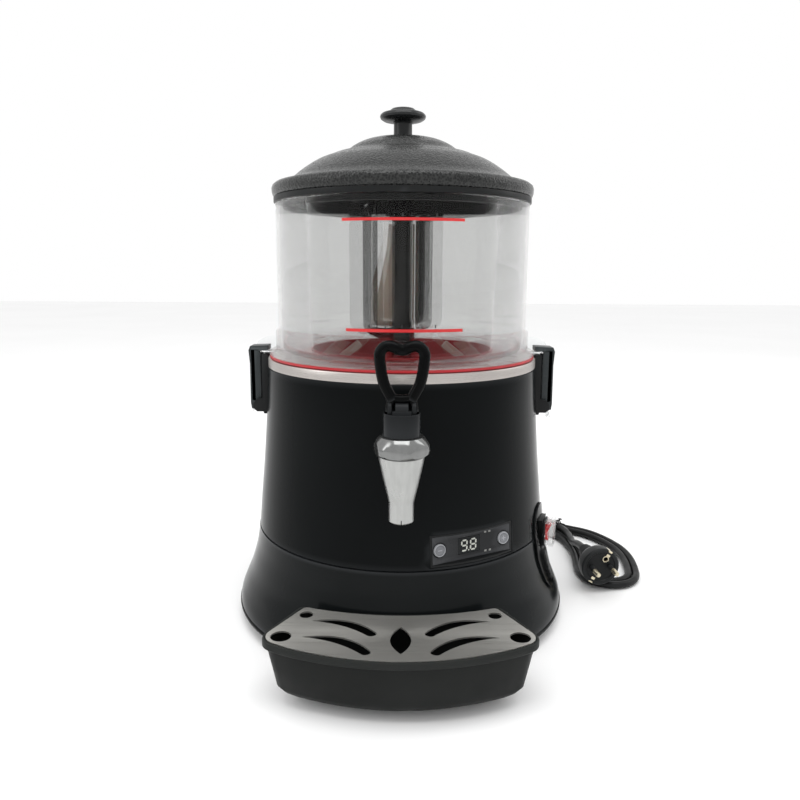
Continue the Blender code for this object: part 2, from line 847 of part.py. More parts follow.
def build_lid(parent, mats):
    outer = [
        (3.0, LID_TOP_Z),
        (27.5, 438.6),
        (46.0, 431.4),
        (55.0, 426.0),
        (68.0, 420.5),
        (84.0, 415.0),
        (103.0, 401.3),
        (113.0, 398.0),
        (117.8, 394.5),
        (117.8, 391.0),
        (116.0, LID_RIM_Z),
    ]
    inner = [
        (114.4, LID_RIM_Z),
        (115.8, 393.4),
        (102.2, 399.5),
        (83.0, 413.2),
        (54.0, 424.2),
        (45.0, 430.0),
        (27.0, 436.8),
        (3.0, 438.4),
    ]
    lathe("lid_dome", outer + inner, mats["hammered_lid"], parent)
    ring = [
        (105.0, 377.0),
        (108.0, 377.0),
        (108.0, BOWL_TOP_Z + GAP),
        (116.3, BOWL_TOP_Z + GAP),
        (116.3, LID_RIM_Z - GAP),
        (105.0, LID_RIM_Z - GAP),
    ]
    lathe("lid_ring", ring, mats["black_plastic"], parent)
    knob = [
        (0, 452.0),
        (2.8, 452.0),
        (2.8, LID_TOP_Z + GAP),
        (9.5, LID_TOP_Z + GAP),
        (8.2, 443.0),
        (8.2, 453.5),
        (17.8, 455.0),
        (20.5, 458.0),
        (20.0, 460.3),
        (17.0, 462.4),
        (11.0, 464.5),
        (0, 466.0),
    ]
    lathe("lid_knob", knob, mats["black_plastic"], parent, FINE_STEPS)
    screw = [(0, 434.8), (6, 434.8), (6, 438.1), (2.5, 438.1), (2.5, 451.7), (0, 451.7)]
    lathe("lid_screw", screw, mats["steel"], parent, 12)


# ---------------------------------------------------------------- latches


def build_latch(side, name, tab_low, parent, mats):
    """Lever that hooks over the bowl's catch, on a bracket with two ears."""
    black = mats["black_plastic"]
    plate = [(120, 189), (130.5, 189), (131.6, 193), (131.2, 246), (126, 246), (120, 236)]
    bracket = latch_slab(f"latch_bracket_{name}", side, plate, 12.0, black, parent)
    ear = [(128, 191), (137, 191), (140.5, 194), (140.5, 199), (137, 203), (128, 205)]
    for i, (y1, y2) in enumerate([(-12.0, -9.6), (9.6, 12.0)]):
        points = [(side * x, z) for x, z in ear]
        join(bracket, slab(f"ear_{name}_{i}", points, y1, y2, None, parent, "XZ"))
    ring_clear = RING_R + 0.6
    clear = [(0, 260.0), (ring_clear, 260.0), (ring_clear, 236.4)]
    clear += [(r + GAP, z) for r, z in SHELL_OUTLINE]
    clear += [(0, SHELL_OUTLINE[-1][1])]
    cut(bracket, lathe(f"bracket_back_{name}", clear, None, parent))
    join(bracket, latch_pin(f"latch_pin_{name}", side, 9.9, 1.8, parent))
    hook = [
        (133.4, 193.4),
        (136.0, 192.6),
        (142.6, 193.4),
        (143.4, 199.0),
        (143.0, 236.0),
        (144.0, 249.0),
        (142.4, 252.9),
        (126.0, 253.6),
        (126.0, 249.0),
        (138.4, 248.9),
        (138.4, 202.0),
        (136.0, 199.4),
        (133.4, 198.6),
    ]
    lever = latch_slab(f"latch_lever_{name}", side, hook, LATCH_HALF, black, parent)
    cut(lever, latch_pin(f"lever_bore_{name}", side, 20.0, 2.1, parent))
    tab = [
        (139.2, 192.5),
        (142.2, 192.5),
        (143.0, tab_low + 2.5),
        (141.6, tab_low),
        (138.8, tab_low + 1.5),
    ]
    latch_slab(f"latch_tab_{name}", side, tab, 7.0, mats["clear_plastic"], parent)


def latch_pin(name, side, half, radius, parent):
    """Bar along Y at a latch's pivot."""
    x, z = LATCH_PIVOT
    return rod(name, [(side * x, -half, z), (side * x, half, z)], radius, None, parent)


def latch_slab(name, side, outline, half, material, parent):
    points = [(side * x, z) for x, z in outline]
    return slab(name, points, -half, half, material, parent, "XZ")


# ---------------------------------------------------------------- agitator


def build_agitator(parent, mats):
    hub = [
        (0, 387.0),
        (8.5, 387.0),
        (9.5, 386.0),
        (9.5, 378.0),
        (12.0, 378.0),
        (12.0, 370.0),
        (9.5, 370.0),
        (9.5, 270.0),
        (12.0, 270.0),
        (12.0, 260.0),
        (9.5, 260.0),
        (9.5, 161.5),
        (7.8, 161.5),
        (7.8, 256.0),
        (4.3, 256.0),
        (4.3, 268.3),
        (0, 268.3),
    ]
    lathe("agitator_hub", hub, mats["steel"], parent, FINE_STEPS)
    shaft = [(0, 100.4), (4.0, 100.4), (4.0, 268.0), (0, 268.0)]
    lathe("drive_shaft", shaft, mats["steel"], parent, 16)
    left = [
        (-11.2, -6.4, 265),
        (-26.4, -15.0, 265),
        (-26.4, -15.0, 384),
        (-33.4, 13.5, 384),
        (-33.4, 13.5, 265),
        (-11.2, 6.4, 265),
    ]
    rod("agitator_loop_left", rounded_path(left, 9.0), 4.0, mats["steel"], parent)
    right = [
        (8.5, -9.6, 374),
        (15.8, -16.0, 374),
        (15.8, -16.0, 273),
        (24.6, 12.5, 273),
        (24.6, 12.5, 374),
        (11.4, 6.4, 374),
    ]
    rod("agitator_loop_right", rounded_path(right, 4.4), 4.0, mats["steel"], parent)
    blade = [(-12.8, 366), (-14.5, 345), (-23.4, 300), (-23.4, 270), (11.6, 270), (11.6, 366)]
    slab("wiper_blade", blade, 12.4, 14.9, mats["pale_plastic"], parent, "XZ")
    arm = [
        (9.9, 161.6),
        (80.4, 161.6),
        (80.4, 228.0),
        (42.0, 258.4),
        (37.5, 252.8),
        (73.0, 224.5),
        (73.0, 170.5),
        (9.9, 170.5),
    ]
    for side, name in ((-1, "left"), (1, "right")):
        points = [(side * x, z) for x, z in arm]
        slab(f"scraper_{name}", points, -3.5, 3.5, mats["pale_plastic"], parent, "XZ")


# ---------------------------------------------------------------- drip tray


def tray_outline(front, corner, rear_corner, rear, radius):
    """Plan of the tray at one level: bowed front, slanting sides, hollow rear."""
    corner_x, corner_y = corner
    rear_x, rear_y = rear_corner
    bow = front - corner_y
    hollow = rear - rear_y
    near = arc_between((-corner_x, -corner_y), (corner_x, -corner_y), -bow, 12)
    far = arc_between((rear_x, -rear_y), (-rear_x, -rear_y), hollow, 12)
    points = []
    points += round_corner(far[-1], near[0], near[2], radius)
    points += near[2:-2]
    points += round_corner(near[-3], near[-1], far[0], radius)
    points += round_corner(near[-1], far[0], far[2], radius / 3, 2)
    points += far[2:-2]
    points += round_corner(far[-3], far[-1], near[0], radius / 3, 2)
    return points


def build_tray(parent, mats):
    levels = [
        (tray_outline(202.0, (89.0, 179.0), (64.0, 148.5), 160.0, 12.0), FOOT_H),
        (tray_outline(TRAY_FRONT, (104.5, 187.0), (78.0, 133.5), 147.0, 14.0), 53.6),
        (tray_outline(211.8, (99.4, 183.4), (75.6, 137.4), 151.2, 10.0), 53.6),
        (tray_outline(199.0, (85.8, 177.0), (62.0, 152.0), 163.4, 9.0), 11.6),
    ]
    bm = bmesh.new()
    rings = []
    for outline, height in levels:
        rings.append([bm.verts.new(Vector((x, y, height)) * MM) for x, y in outline])
    bridge_rings(bm, rings)
    object_from_bmesh("tray_body", bm, mats["tray_grey"], parent)


def crescent(tip, thick_end, rise, width):
    """Slot that swells from a sharp tip to a rounded end."""
    outer = arc_between(tip, thick_end, rise, 8)
    a = Vector(outer[-2])
    b = Vector(outer[-1])
    across = Vector((-(b - a).y, (b - a).x)).normalized() * math.copysign(width, -rise)
    far_end = tuple(b + across)
    middle = (b + b + across) / 2 + (b - a).normalized() * width * 0.35
    inner = arc_between(far_end, tip, -rise * 0.62, 8)
    return outer + [tuple(middle)] + inner[:-1]


def build_grid(parent, mats):
    outline = tray_outline(214.6, (101.6, 185.4), (74.5, 136.0), 149.6, 12.0)
    grid = slab("tray_grid", outline, 53.9, 55.2, mats["steel"], parent)
    low = 50.0
    high = 60.0
    leaf = arc_between((0, -166.7), (0, -205.1), -7.6, 8) + arc_between((0, -205.1), (0, -166.7), -7.6, 8)[1:-1]
    cut(grid, slab("grid_leaf", leaf, low, high, None, parent))
    for side in (-1, 1):
        holes = {
            "small": circle(side * 71.9, -148.6, 5.2, 14),
            "large": circle(side * 86.0, -181.5, 7.5, 18),
            "upper": crescent((side * 67.0, -158.4), (side * 17.8, -175.4), side * -9.4, 5.6),
            "lower": crescent((side * 71.2, -182.4), (side * 20.8, -201.0), side * -9.8, 5.6),
        }
        for kind, points in holes.items():
            cut(grid, slab(f"grid_{kind}_{side}", points, low, high, None, parent))


# ---------------------------------------------------------------- power cord


def build_gland(parent, mats):
    frame = facing_frame(GLAND_AZ, 0, (0, 0, GLAND_Z))
    outline = [
        (0, 134),
        (8.0, 134),
        (8.0, 150.4),
        (11.5, 150.4),
        (11.5, 153.6),
        (7.5, 155),
        (5.6, GLAND_END),
        (0, GLAND_END),
    ]
    return turned_along("cord_gland", outline, mats["black_plastic"], parent, frame, 20)


def cord_curve(name, points, material, parent):
    """A round cord on a poly spline read from a smooth curve."""
    curve = bpy.data.curves.new(name, "CURVE")
    curve.dimensions = "3D"
    curve.bevel_depth = CORD_R * MM
    curve.bevel_resolution = 2
    curve.use_fill_caps = True
    path = smooth_path(points, 16.0)
    spline = curve.splines.new("POLY")
    spline.points.add(len(path) - 1)
    for spot, place in zip(spline.points, path):
        spot.co = (*(place * MM), 1.0)
    curve.materials.append(material)
    cord = bpy.data.objects.new(name, curve)
    bpy.context.scene.collection.objects.link(cord)
    cord.parent = parent
    return cord


def build_cord(parent, mats):
    start = Vector(on_azimuth(GLAND_AZ, GLAND_END + GAP, GLAND_Z))
    out = Vector(on_azimuth(GLAND_AZ, 1.0, 0.0))
    route = [
        start,
        start + out * 14,
        (99, 172, 44.5),
        (106, 190, 35),
        (110.5, 208, 22.5),
        (114.8, 222, 12.5),
        (123.5, 234, 6.6),
        (133, 241, 5.1),
    ]
    cord_curve("power_cord", route, mats["rubber"], parent)
    outline = hank_outline()
    slab("cord_hank", outline, HANK_Z[0], HANK_Z[1], mats["rubber"], parent)
    build_tie(parent, mats)
    build_plug(parent, mats)


def half_ring(centre, forward, side, radius):
    """Points half way round an end of the hank, from +side to -side past forward."""
    points = []
    for i in range(1, 12):
        turn = math.pi * i / 12
        spot = centre + (side * math.cos(turn) + forward * math.sin(turn)) * radius
        points.append((spot.x, spot.y))
    return points


def hank_outline():
    """Edge of the folded cord: two round lobes and the waist that the tie holds."""
    line = smooth_path(HANK_LINE, 14.0)
    middles = [Vector((p.x, p.y)) for p in line]
    starts = middles[:1] + middles
    ends = middles[1:] + middles[-1:]
    right = []
    left = []
    for point, before, after, middle in zip(line, starts, ends + ends[-1:], middles):
        along = (after - before).normalized()
        side = Vector((-along.y, along.x)) * point.z
        right.append((middle.x + side.x, middle.y + side.y))
        left.append((middle.x - side.x, middle.y - side.y))
    back = (middles[0] - middles[1]).normalized()
    front = (middles[-1] - middles[-2]).normalized()
    rear_end = half_ring(middles[0], back, Vector((back.y, -back.x)), line[0].z)
    front_end = half_ring(middles[-1], front, Vector((front.y, -front.x)), line[-1].z)
    return right[::-1] + rear_end + left + front_end


def build_tie(parent, mats):
    """Band round the waist of the hank."""
    before = Vector(HANK_LINE[WAIST - 1][:2])
    centre = Vector(HANK_LINE[WAIST][:2])
    axis = Vector(HANK_LINE[WAIST + 1][:2]) - before
    turn = math.atan2(axis.y, axis.x)
    frame = Matrix.Translation((centre.x * MM, centre.y * MM, 0)) @ Matrix.Rotation(turn, 4, "Z")
    inner = HANK_LINE[WAIST][2] + 5 * GAP
    outer = inner + 1.1
    low = (-2.2, -outer, 0.1)
    high = (2.2, outer, TIE_TOP_Z)
    tie = box("cord_tie", low, high, mats["black_plastic"], parent, frame)
    low = (-6, -inner, HANK_Z[0] - GAP)
    high = (6, inner, TIE_TOP_Z - 0.9)
    hollow = box("tie_hollow", low, high, None, parent, frame)
    return cut(tie, hollow)


def build_plug(parent, mats):
    """Moulded round plug lying on the hank, face forward, with its two pins."""
    face = Vector(PLUG_FACE)
    frame = facing_frame(6, 0, face)
    back = -46.0
    outline = [
        (0, 0),
        (PLUG_R - 1, 0),
        (PLUG_R, -1.2),
        (PLUG_R, -9),
        (15, -20),
        (9, -30),
        (5.5, back),
        (0, back),
    ]
    turned_along("plug_body", outline, mats["black_plastic"], parent, frame)
    for i, u in enumerate((-9.5, 9.5)):
        shift = frame @ Matrix.Translation((u * MM, 0, 0))
        pin = [(0, GAP), (2.4, GAP), (2.4, 18), (1.6, 19.3), (0, 19.3)]
        turned_along(f"plug_pin_{i + 1}", pin, mats["brass"], parent, shift, 12)
    tail = frame @ Vector((0, 0, (back - GAP) * MM)) / MM
    away = -(frame.to_3x3() @ Vector((0, 0, 1)))
    lead = [
        tail,
        tail + away * 2.5,
        tail + away * 10,
        (196.5, 78, 23),
        (198, 98, 15.5),
        (201, 118, 13.05),
        (201.5, 135, 13.05),
        (199.4, 150, 13.05),
        (197.2, 159, 13.05),
    ]
    cord_curve("plug_lead", lead, mats["rubber"], parent)


# ---------------------------------------------------------------- assembly


def main():
    clear_scene()
    mats = make_materials()
    stand = bpy.data.objects.new("body_axis", None)
    bpy.context.scene.collection.objects.link(stand)
    stand.location = (0.0, AXIS_Y * MM, 0.0)

    build_feet(stand, mats)
    build_base_plate(stand, mats)
    build_tray_bracket(stand, mats)
    skirt = build_skirt(stand, mats)
    shell = build_body_shell(stand, mats)
    cut_shell_openings(shell, skirt, stand)
    build_tank(stand, mats)
    build_heater(stand, mats)
    build_thermostat(stand, mats)
    build_motor(stand, mats)
    build_motor_bracket(stand, mats)

    build_panel(stand, mats)
    build_display(stand, mats)
    build_buttons(stand, mats)
    build_circuit_board(stand, mats)
    build_switch_pod(stand, mats)
    build_switch(stand, mats)

    build_shank(stand, mats)
    build_faucet_body(stand, mats)
    build_bonnet_nut(stand, mats)
    build_tower(stand, mats)
    build_handle(stand, mats)
    build_valve(stand, mats)

    build_seal(stand, mats)
    build_bowl(stand, mats)
    build_lid(stand, mats)
    build_latch(-1, "left", 190.0, stand, mats)
    build_latch(1, "right", 184.5, stand, mats)
    build_agitator(stand, mats)

    build_tray(stand, mats)
    build_grid(stand, mats)

    build_gland(stand, mats)
    build_cord(stand, mats)
    bpy.context.view_layer.update()


main()
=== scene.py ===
"""Looks of a countertop heated dispenser with a lever faucet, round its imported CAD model.

Shapes are drawn in millimetres round the body's own vertical axis, and are
put in the frame, in metres, when their mesh is made.
"""

import math

import bmesh
import bpy
from mathutils import Matrix, Vector


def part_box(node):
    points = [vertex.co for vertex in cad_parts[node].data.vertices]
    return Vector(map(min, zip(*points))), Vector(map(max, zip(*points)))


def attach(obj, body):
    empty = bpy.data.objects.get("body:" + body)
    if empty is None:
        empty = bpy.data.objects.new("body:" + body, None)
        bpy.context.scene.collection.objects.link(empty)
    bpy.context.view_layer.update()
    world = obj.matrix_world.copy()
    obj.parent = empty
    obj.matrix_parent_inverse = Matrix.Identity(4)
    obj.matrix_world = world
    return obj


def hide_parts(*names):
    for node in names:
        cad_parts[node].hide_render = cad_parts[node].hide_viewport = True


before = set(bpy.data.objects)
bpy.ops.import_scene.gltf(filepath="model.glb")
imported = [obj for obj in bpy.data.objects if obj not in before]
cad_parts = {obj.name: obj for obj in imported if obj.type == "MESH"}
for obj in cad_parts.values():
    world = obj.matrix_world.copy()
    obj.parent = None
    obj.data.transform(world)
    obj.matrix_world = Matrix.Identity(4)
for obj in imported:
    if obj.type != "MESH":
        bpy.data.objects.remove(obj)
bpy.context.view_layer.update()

MM = 0.001
GAP = 0.3
WALL = 2.5
STEPS = 144  # sides of the large round pieces
MIDDLE_STEPS = 96  # sides of the faucet's round pieces
FINE_STEPS = 64  # sides of the small round pieces
SIDES = ((-1, "left"), (1, "right"))

shell_low, shell_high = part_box("body_shell")
AXIS_Y = (shell_low.y + shell_high.y) / 2 / MM
TO_FRAME = Matrix.Translation((0.0, AXIS_Y * MM, 0.0)) @ Matrix.Scale(MM, 4)

RING_R = 125.0
BOWL_R = 115.0
WELL_R = 85.7
FAUCET_Y = -158.0
PIVOT_Z = 223.0
TRAY_WIDE = 1.04  # how much wider the shown tray is than its solid
NUT_TURN = math.radians(-15)

SKIRT_OUTLINE = [
    (137.3, 85.4), (138, 79), (139.9, 67), (142.9, 55.6), (146.5, 44), (151.3, 32.6), (155.9, 21),
    (157.2, 13.9),
]
SHELL_OUTLINE = [
    (125.4, 236.2), (127.4, 196), (130.3, 158), (134, 119), (136.9, 86.2),
]

LENS = 31.05
SENSOR = 36.0
EYE_X = -0.0014
EYE_BACK = 0.654  # metres from the body's axis to the camera
EYE_HIGH = 0.325
EYE_PITCH = 10.78  # degrees below the horizon
EYE_ROLL = 0.3

PANEL_AZ = 27.0
PANEL_TILT = 4.5
PANEL_DIST = 129.3
PANEL_Z = 101.6
PANEL_W = 79.4
PANEL_H = 26.6
BUTTON_U = 31.0
DISPLAY_U = -3.0

CORD_R = 3.75
CORD_D = 2 * CORD_R
CORD_LOW = 4.3  # height of the first layer's centreline over the floor
OUTER_INSET = 3.5  # of the outer lane from the hank's edge
INNER_INSET = OUTER_INSET + CORD_D + 0.25
EASE_ROUNDS = 80
GLAND_AZ = 150.0
GLAND_Z = 48.0
GLAND_END = 166.0
HANK_LINE = (
    (150, 205, 34.5), (171, 187, 27), (195, 165, 16.8), (216, 144, 26), (229, 104, 33), (228, 72, 34.5),
    (222, 42, 34.5),
)
PLUG_FACE = (203.0, 1.6, 28.8)
PLUG_AZ = 6.0
PLUG_R = 19.5
PLUG_LONG = 46.0


# ---- lines


def smooth_path(points, spacing):
    """Points on a Catmull-Rom curve through the given ones."""
    pts = [Vector(p) for p in points]
    ends = [pts[0] * 2 - pts[1]] + pts + [pts[-1] * 2 - pts[-2]]
    path = []
    for a, b, c, d in zip(ends, ends[1:], ends[2:], ends[3:]):
        count = max(2, round((c - b).length / spacing))
        for i in range(count):
            t = i / count
            bend = (a * 2 - b * 5 + c * 4 - d) * t * t
            twist = (b * 3 - a - c * 3 + d) * t * t * t
            path.append((b * 2 + (c - a) * t + bend + twist) / 2)
    return path + [pts[-1]]


def rounded_path(points, radius, turns=8):
    """A polyline whose inner corners are rounded to the radius."""
    pts = [Vector(p) for p in points]
    path = [pts[0]]
    for a, b, c in zip(pts, pts[1:], pts[2:]):
        into = (a - b).normalized()
        away = (c - b).normalized()
        half = into.angle(away) / 2
        reach = min(radius / math.tan(half), 0.48 * min((a - b).length, (c - b).length))
        bend = reach * math.tan(half)
        middle = b + (into + away).normalized() * (bend / math.sin(half))
        start = b + into * reach - middle
        finish = b + away * reach - middle
        sweep = start.angle(finish)
        if sweep < 0.02:
            path.append(b)
            continue
        for i in range(turns + 1):
            t = i / turns
            mix = start * math.sin((1 - t) * sweep) + finish * math.sin(t * sweep)
            path.append(middle + mix / math.sin(sweep))
    return path + [pts[-1]]


def soft_outline(outline, radius, turns=4):
    """A closed flat outline with its corners rounded."""
    loop = [outline[-1]] + list(outline) + [outline[0]]
    path = rounded_path([(a, b, 0) for a, b in loop], radius, turns)
    return [(p.x, p.y) for p in path[1:-1]]


def arc_between(start, finish, rise, count):
    """Points of an arc from start to finish that bulges by rise to its left."""
    a = Vector(start)
    b = Vector(finish)
    chord = b - a
    left = Vector((-chord.y, chord.x)).normalized()
    points = []
    for i in range(count + 1):
        t = i / count
        points.append(tuple(a + chord * t + left * (4 * rise * t * (1 - t))))
    return points


def circle(x, y, radius, count=40):
    turns = [2 * math.pi * i / count for i in range(count)]
    return [(x + radius * math.cos(t), y + radius * math.sin(t)) for t in turns]


def on_azimuth(azimuth, distance, height):
    turn = math.radians(azimuth)
    return (distance * math.sin(turn), -distance * math.cos(turn), height)


def facing_frame(azimuth, tilt, centre):
    """Axes of a face on the body: u to its right, w up it, n out of it."""
    turn = math.radians(azimuth)
    lean = math.radians(tilt)
    flat = Vector((math.sin(turn), -math.cos(turn), 0.0))
    n = flat * math.cos(lean) + Vector((0.0, 0.0, math.sin(lean)))
    u = Vector((math.cos(turn), math.sin(turn), 0.0))
    w = n.cross(u)
    axes = Matrix((u, w, n)).transposed().to_4x4()
    axes.translation = Vector(centre)
    return axes


def to_world(point):
    return TO_FRAME @ Vector(point)


# ---- meshes


def close_rings(bm, rings, closed=False, caps=True):
    """Faces between rings of vertices in a row; a ring of one is a point."""
    pairs = list(zip(rings, rings[1:]))
    if closed:
        pairs.append((rings[-1], rings[0]))
    for a, b in pairs:
        count = max(len(a), len(b))
        for i in range(count):
            j = (i + 1) % count
            if len(a) == 1 and len(b) == 1:
                continue
            if len(a) == 1:
                bm.faces.new([a[0], b[j], b[i]])
            elif len(b) == 1:
                bm.faces.new([a[i], a[j], b[0]])
            else:
                bm.faces.new([a[i], a[j], b[j], b[i]])
    if caps and not closed:
        bm.faces.new(rings[0][::-1])
        bm.faces.new(rings[-1])


def lathe_mesh(outline, steps=STEPS, centre=(0.0, 0.0)):
    """Turn a closed (radius, height) outline round a vertical axis."""
    bm = bmesh.new()
    rings = []
    for radius, height in outline:
        if radius < 1e-6:
            rings.append([bm.verts.new((centre[0], centre[1], height))])
            continue
        ring = []
        for i in range(steps):
            turn = 2 * math.pi * i / steps
            x = centre[0] + radius * math.cos(turn)
            y = centre[1] + radius * math.sin(turn)
            ring.append(bm.verts.new((x, y, height)))
        rings.append(ring)
    on_axis = outline[0][0] < 1e-6 and outline[-1][0] < 1e-6
    close_rings(bm, rings, closed=not on_axis, caps=False)
    return bm


def turned(outline, steps, axes):
    """A turned shape whose axis is the third of the given axes."""
    bm = lathe_mesh(outline, steps)
    bm.transform(axes)
    return bm


def box_mesh(low, high, axes=None):
    bm = bmesh.new()
    bmesh.ops.create_cube(bm, size=1.0)
    size = [b - a for a, b in zip(low, high)]
    middle = [(a + b) / 2 for a, b in zip(low, high)]
    for vert in bm.verts:
        vert.co = Vector([c * s + m for c, s, m in zip(vert.co, size, middle)])
    if axes is not None:
        bm.transform(axes)
    return bm


def slab_mesh(outline, low, high, plane="XY", axes=None):
    """Extrude a flat outline; plane names the axes that its points run along."""
    bm = bmesh.new()
    rings = []
    for level in (low, high):
        ring = []
        for a, b in outline:
            spot = (a, b, level) if plane == "XY" else (a, level, b)
            ring.append(bm.verts.new(spot))
        rings.append(ring)
    close_rings(bm, rings)
    if axes is not None:
        bm.transform(axes)
    return bm


def tube_mesh(path, radius, sides=20):
    """A round bar along a path."""
    bm = bmesh.new()
    pts = [Vector(p) for p in path]
    rings = []
    side = None
    for i, place in enumerate(pts):
        ahead = (pts[min(i + 1, len(pts) - 1)] - pts[max(i - 1, 0)]).normalized()
        if side is None:
            side = ahead.orthogonal().normalized()
        side = (side - ahead * side.dot(ahead)).normalized()
        up = ahead.cross(side)
        ring = []
        for k in range(sides):
            turn = 2 * math.pi * k / sides
            ring.append(bm.verts.new(place + (side * math.cos(turn) + up * math.sin(turn)) * radius))
        rings.append(ring)
    close_rings(bm, rings)
    return bm


def merged(*meshes):
    """Several meshes in one, as pieces of one moulding that run into each other."""
    whole = bmesh.new()
    for bm in meshes:
        part = bpy.data.meshes.new("part")
        bm.to_mesh(part)
        bm.free()
        whole.from_mesh(part)
        bpy.data.meshes.remove(part)
    return whole


def linked(name, data):
    made = bpy.data.objects.new(name, data)
    bpy.context.scene.collection.objects.link(made)
    return made


def raw_object(name, bm):
    bmesh.ops.recalc_face_normals(bm, faces=bm.faces[:])
    bm.transform(TO_FRAME)
    mesh = bpy.data.meshes.new(name)
    bm.to_mesh(mesh)
    bm.free()
    return linked(name, mesh)


def applied(made, angle=35.0):
    """Apply the modifiers, and shade smooth except over sharp edges."""
    bpy.context.view_layer.update()
    graph = bpy.context.evaluated_depsgraph_get()
    mesh = bpy.data.meshes.new_from_object(made.evaluated_get(graph))
    mesh.name = made.name
    made.modifiers.clear()
    old = made.data
    made.data = mesh
    bpy.data.meshes.remove(old)
    mesh.shade_smooth()
    mesh.set_sharp_from_angle(angle=math.radians(angle))
    return made


def piece(
    name, bm, material, stands_for=(), cutters=(), keep=(), bevel=0.0, angle=35.0, body="machine"
):
    """One finished piece; cutters are taken from it, and bevel rounds its edges."""
    made = raw_object(name, bm)
    tools = []
    for operation, others in (("INTERSECT", keep), ("DIFFERENCE", cutters)):
        for other in others:
            tool = raw_object("tool", other)
            modifier = made.modifiers.new("shape", "BOOLEAN")
            modifier.operation = operation
            modifier.solver = "EXACT"
            modifier.object = tool
            tools.append(tool)
    if bevel:
        modifier = made.modifiers.new("edges", "BEVEL")
        modifier.width = bevel * MM
        modifier.segments = 3
        modifier.limit_method = "ANGLE"
        modifier.angle_limit = math.radians(40)
    applied(made, angle)
    for tool in tools:
        bpy.data.objects.remove(tool, do_unlink=True)
    made.data.materials.clear()
    made.data.materials.append(material)
    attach(made, body)
    if stands_for:
        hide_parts(*stands_for)
    return made


def softened(node, material, bevel=0.5, name=None, body="machine"):
    """A copy of a CAD node's shape with rounded edges, in its place."""
    bm = bmesh.new()
    bm.from_mesh(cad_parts[node].data)
    bmesh.ops.remove_doubles(bm, verts=bm.verts[:], dist=1e-6)
    bmesh.ops.dissolve_limit(
        bm, angle_limit=math.radians(1), verts=bm.verts[:], edges=bm.edges[:]
    )
    bm.transform(TO_FRAME.inverted())
    return piece(name or f"{node}_soft", bm, material, (node,), bevel=bevel, body=body)


# ---- materials


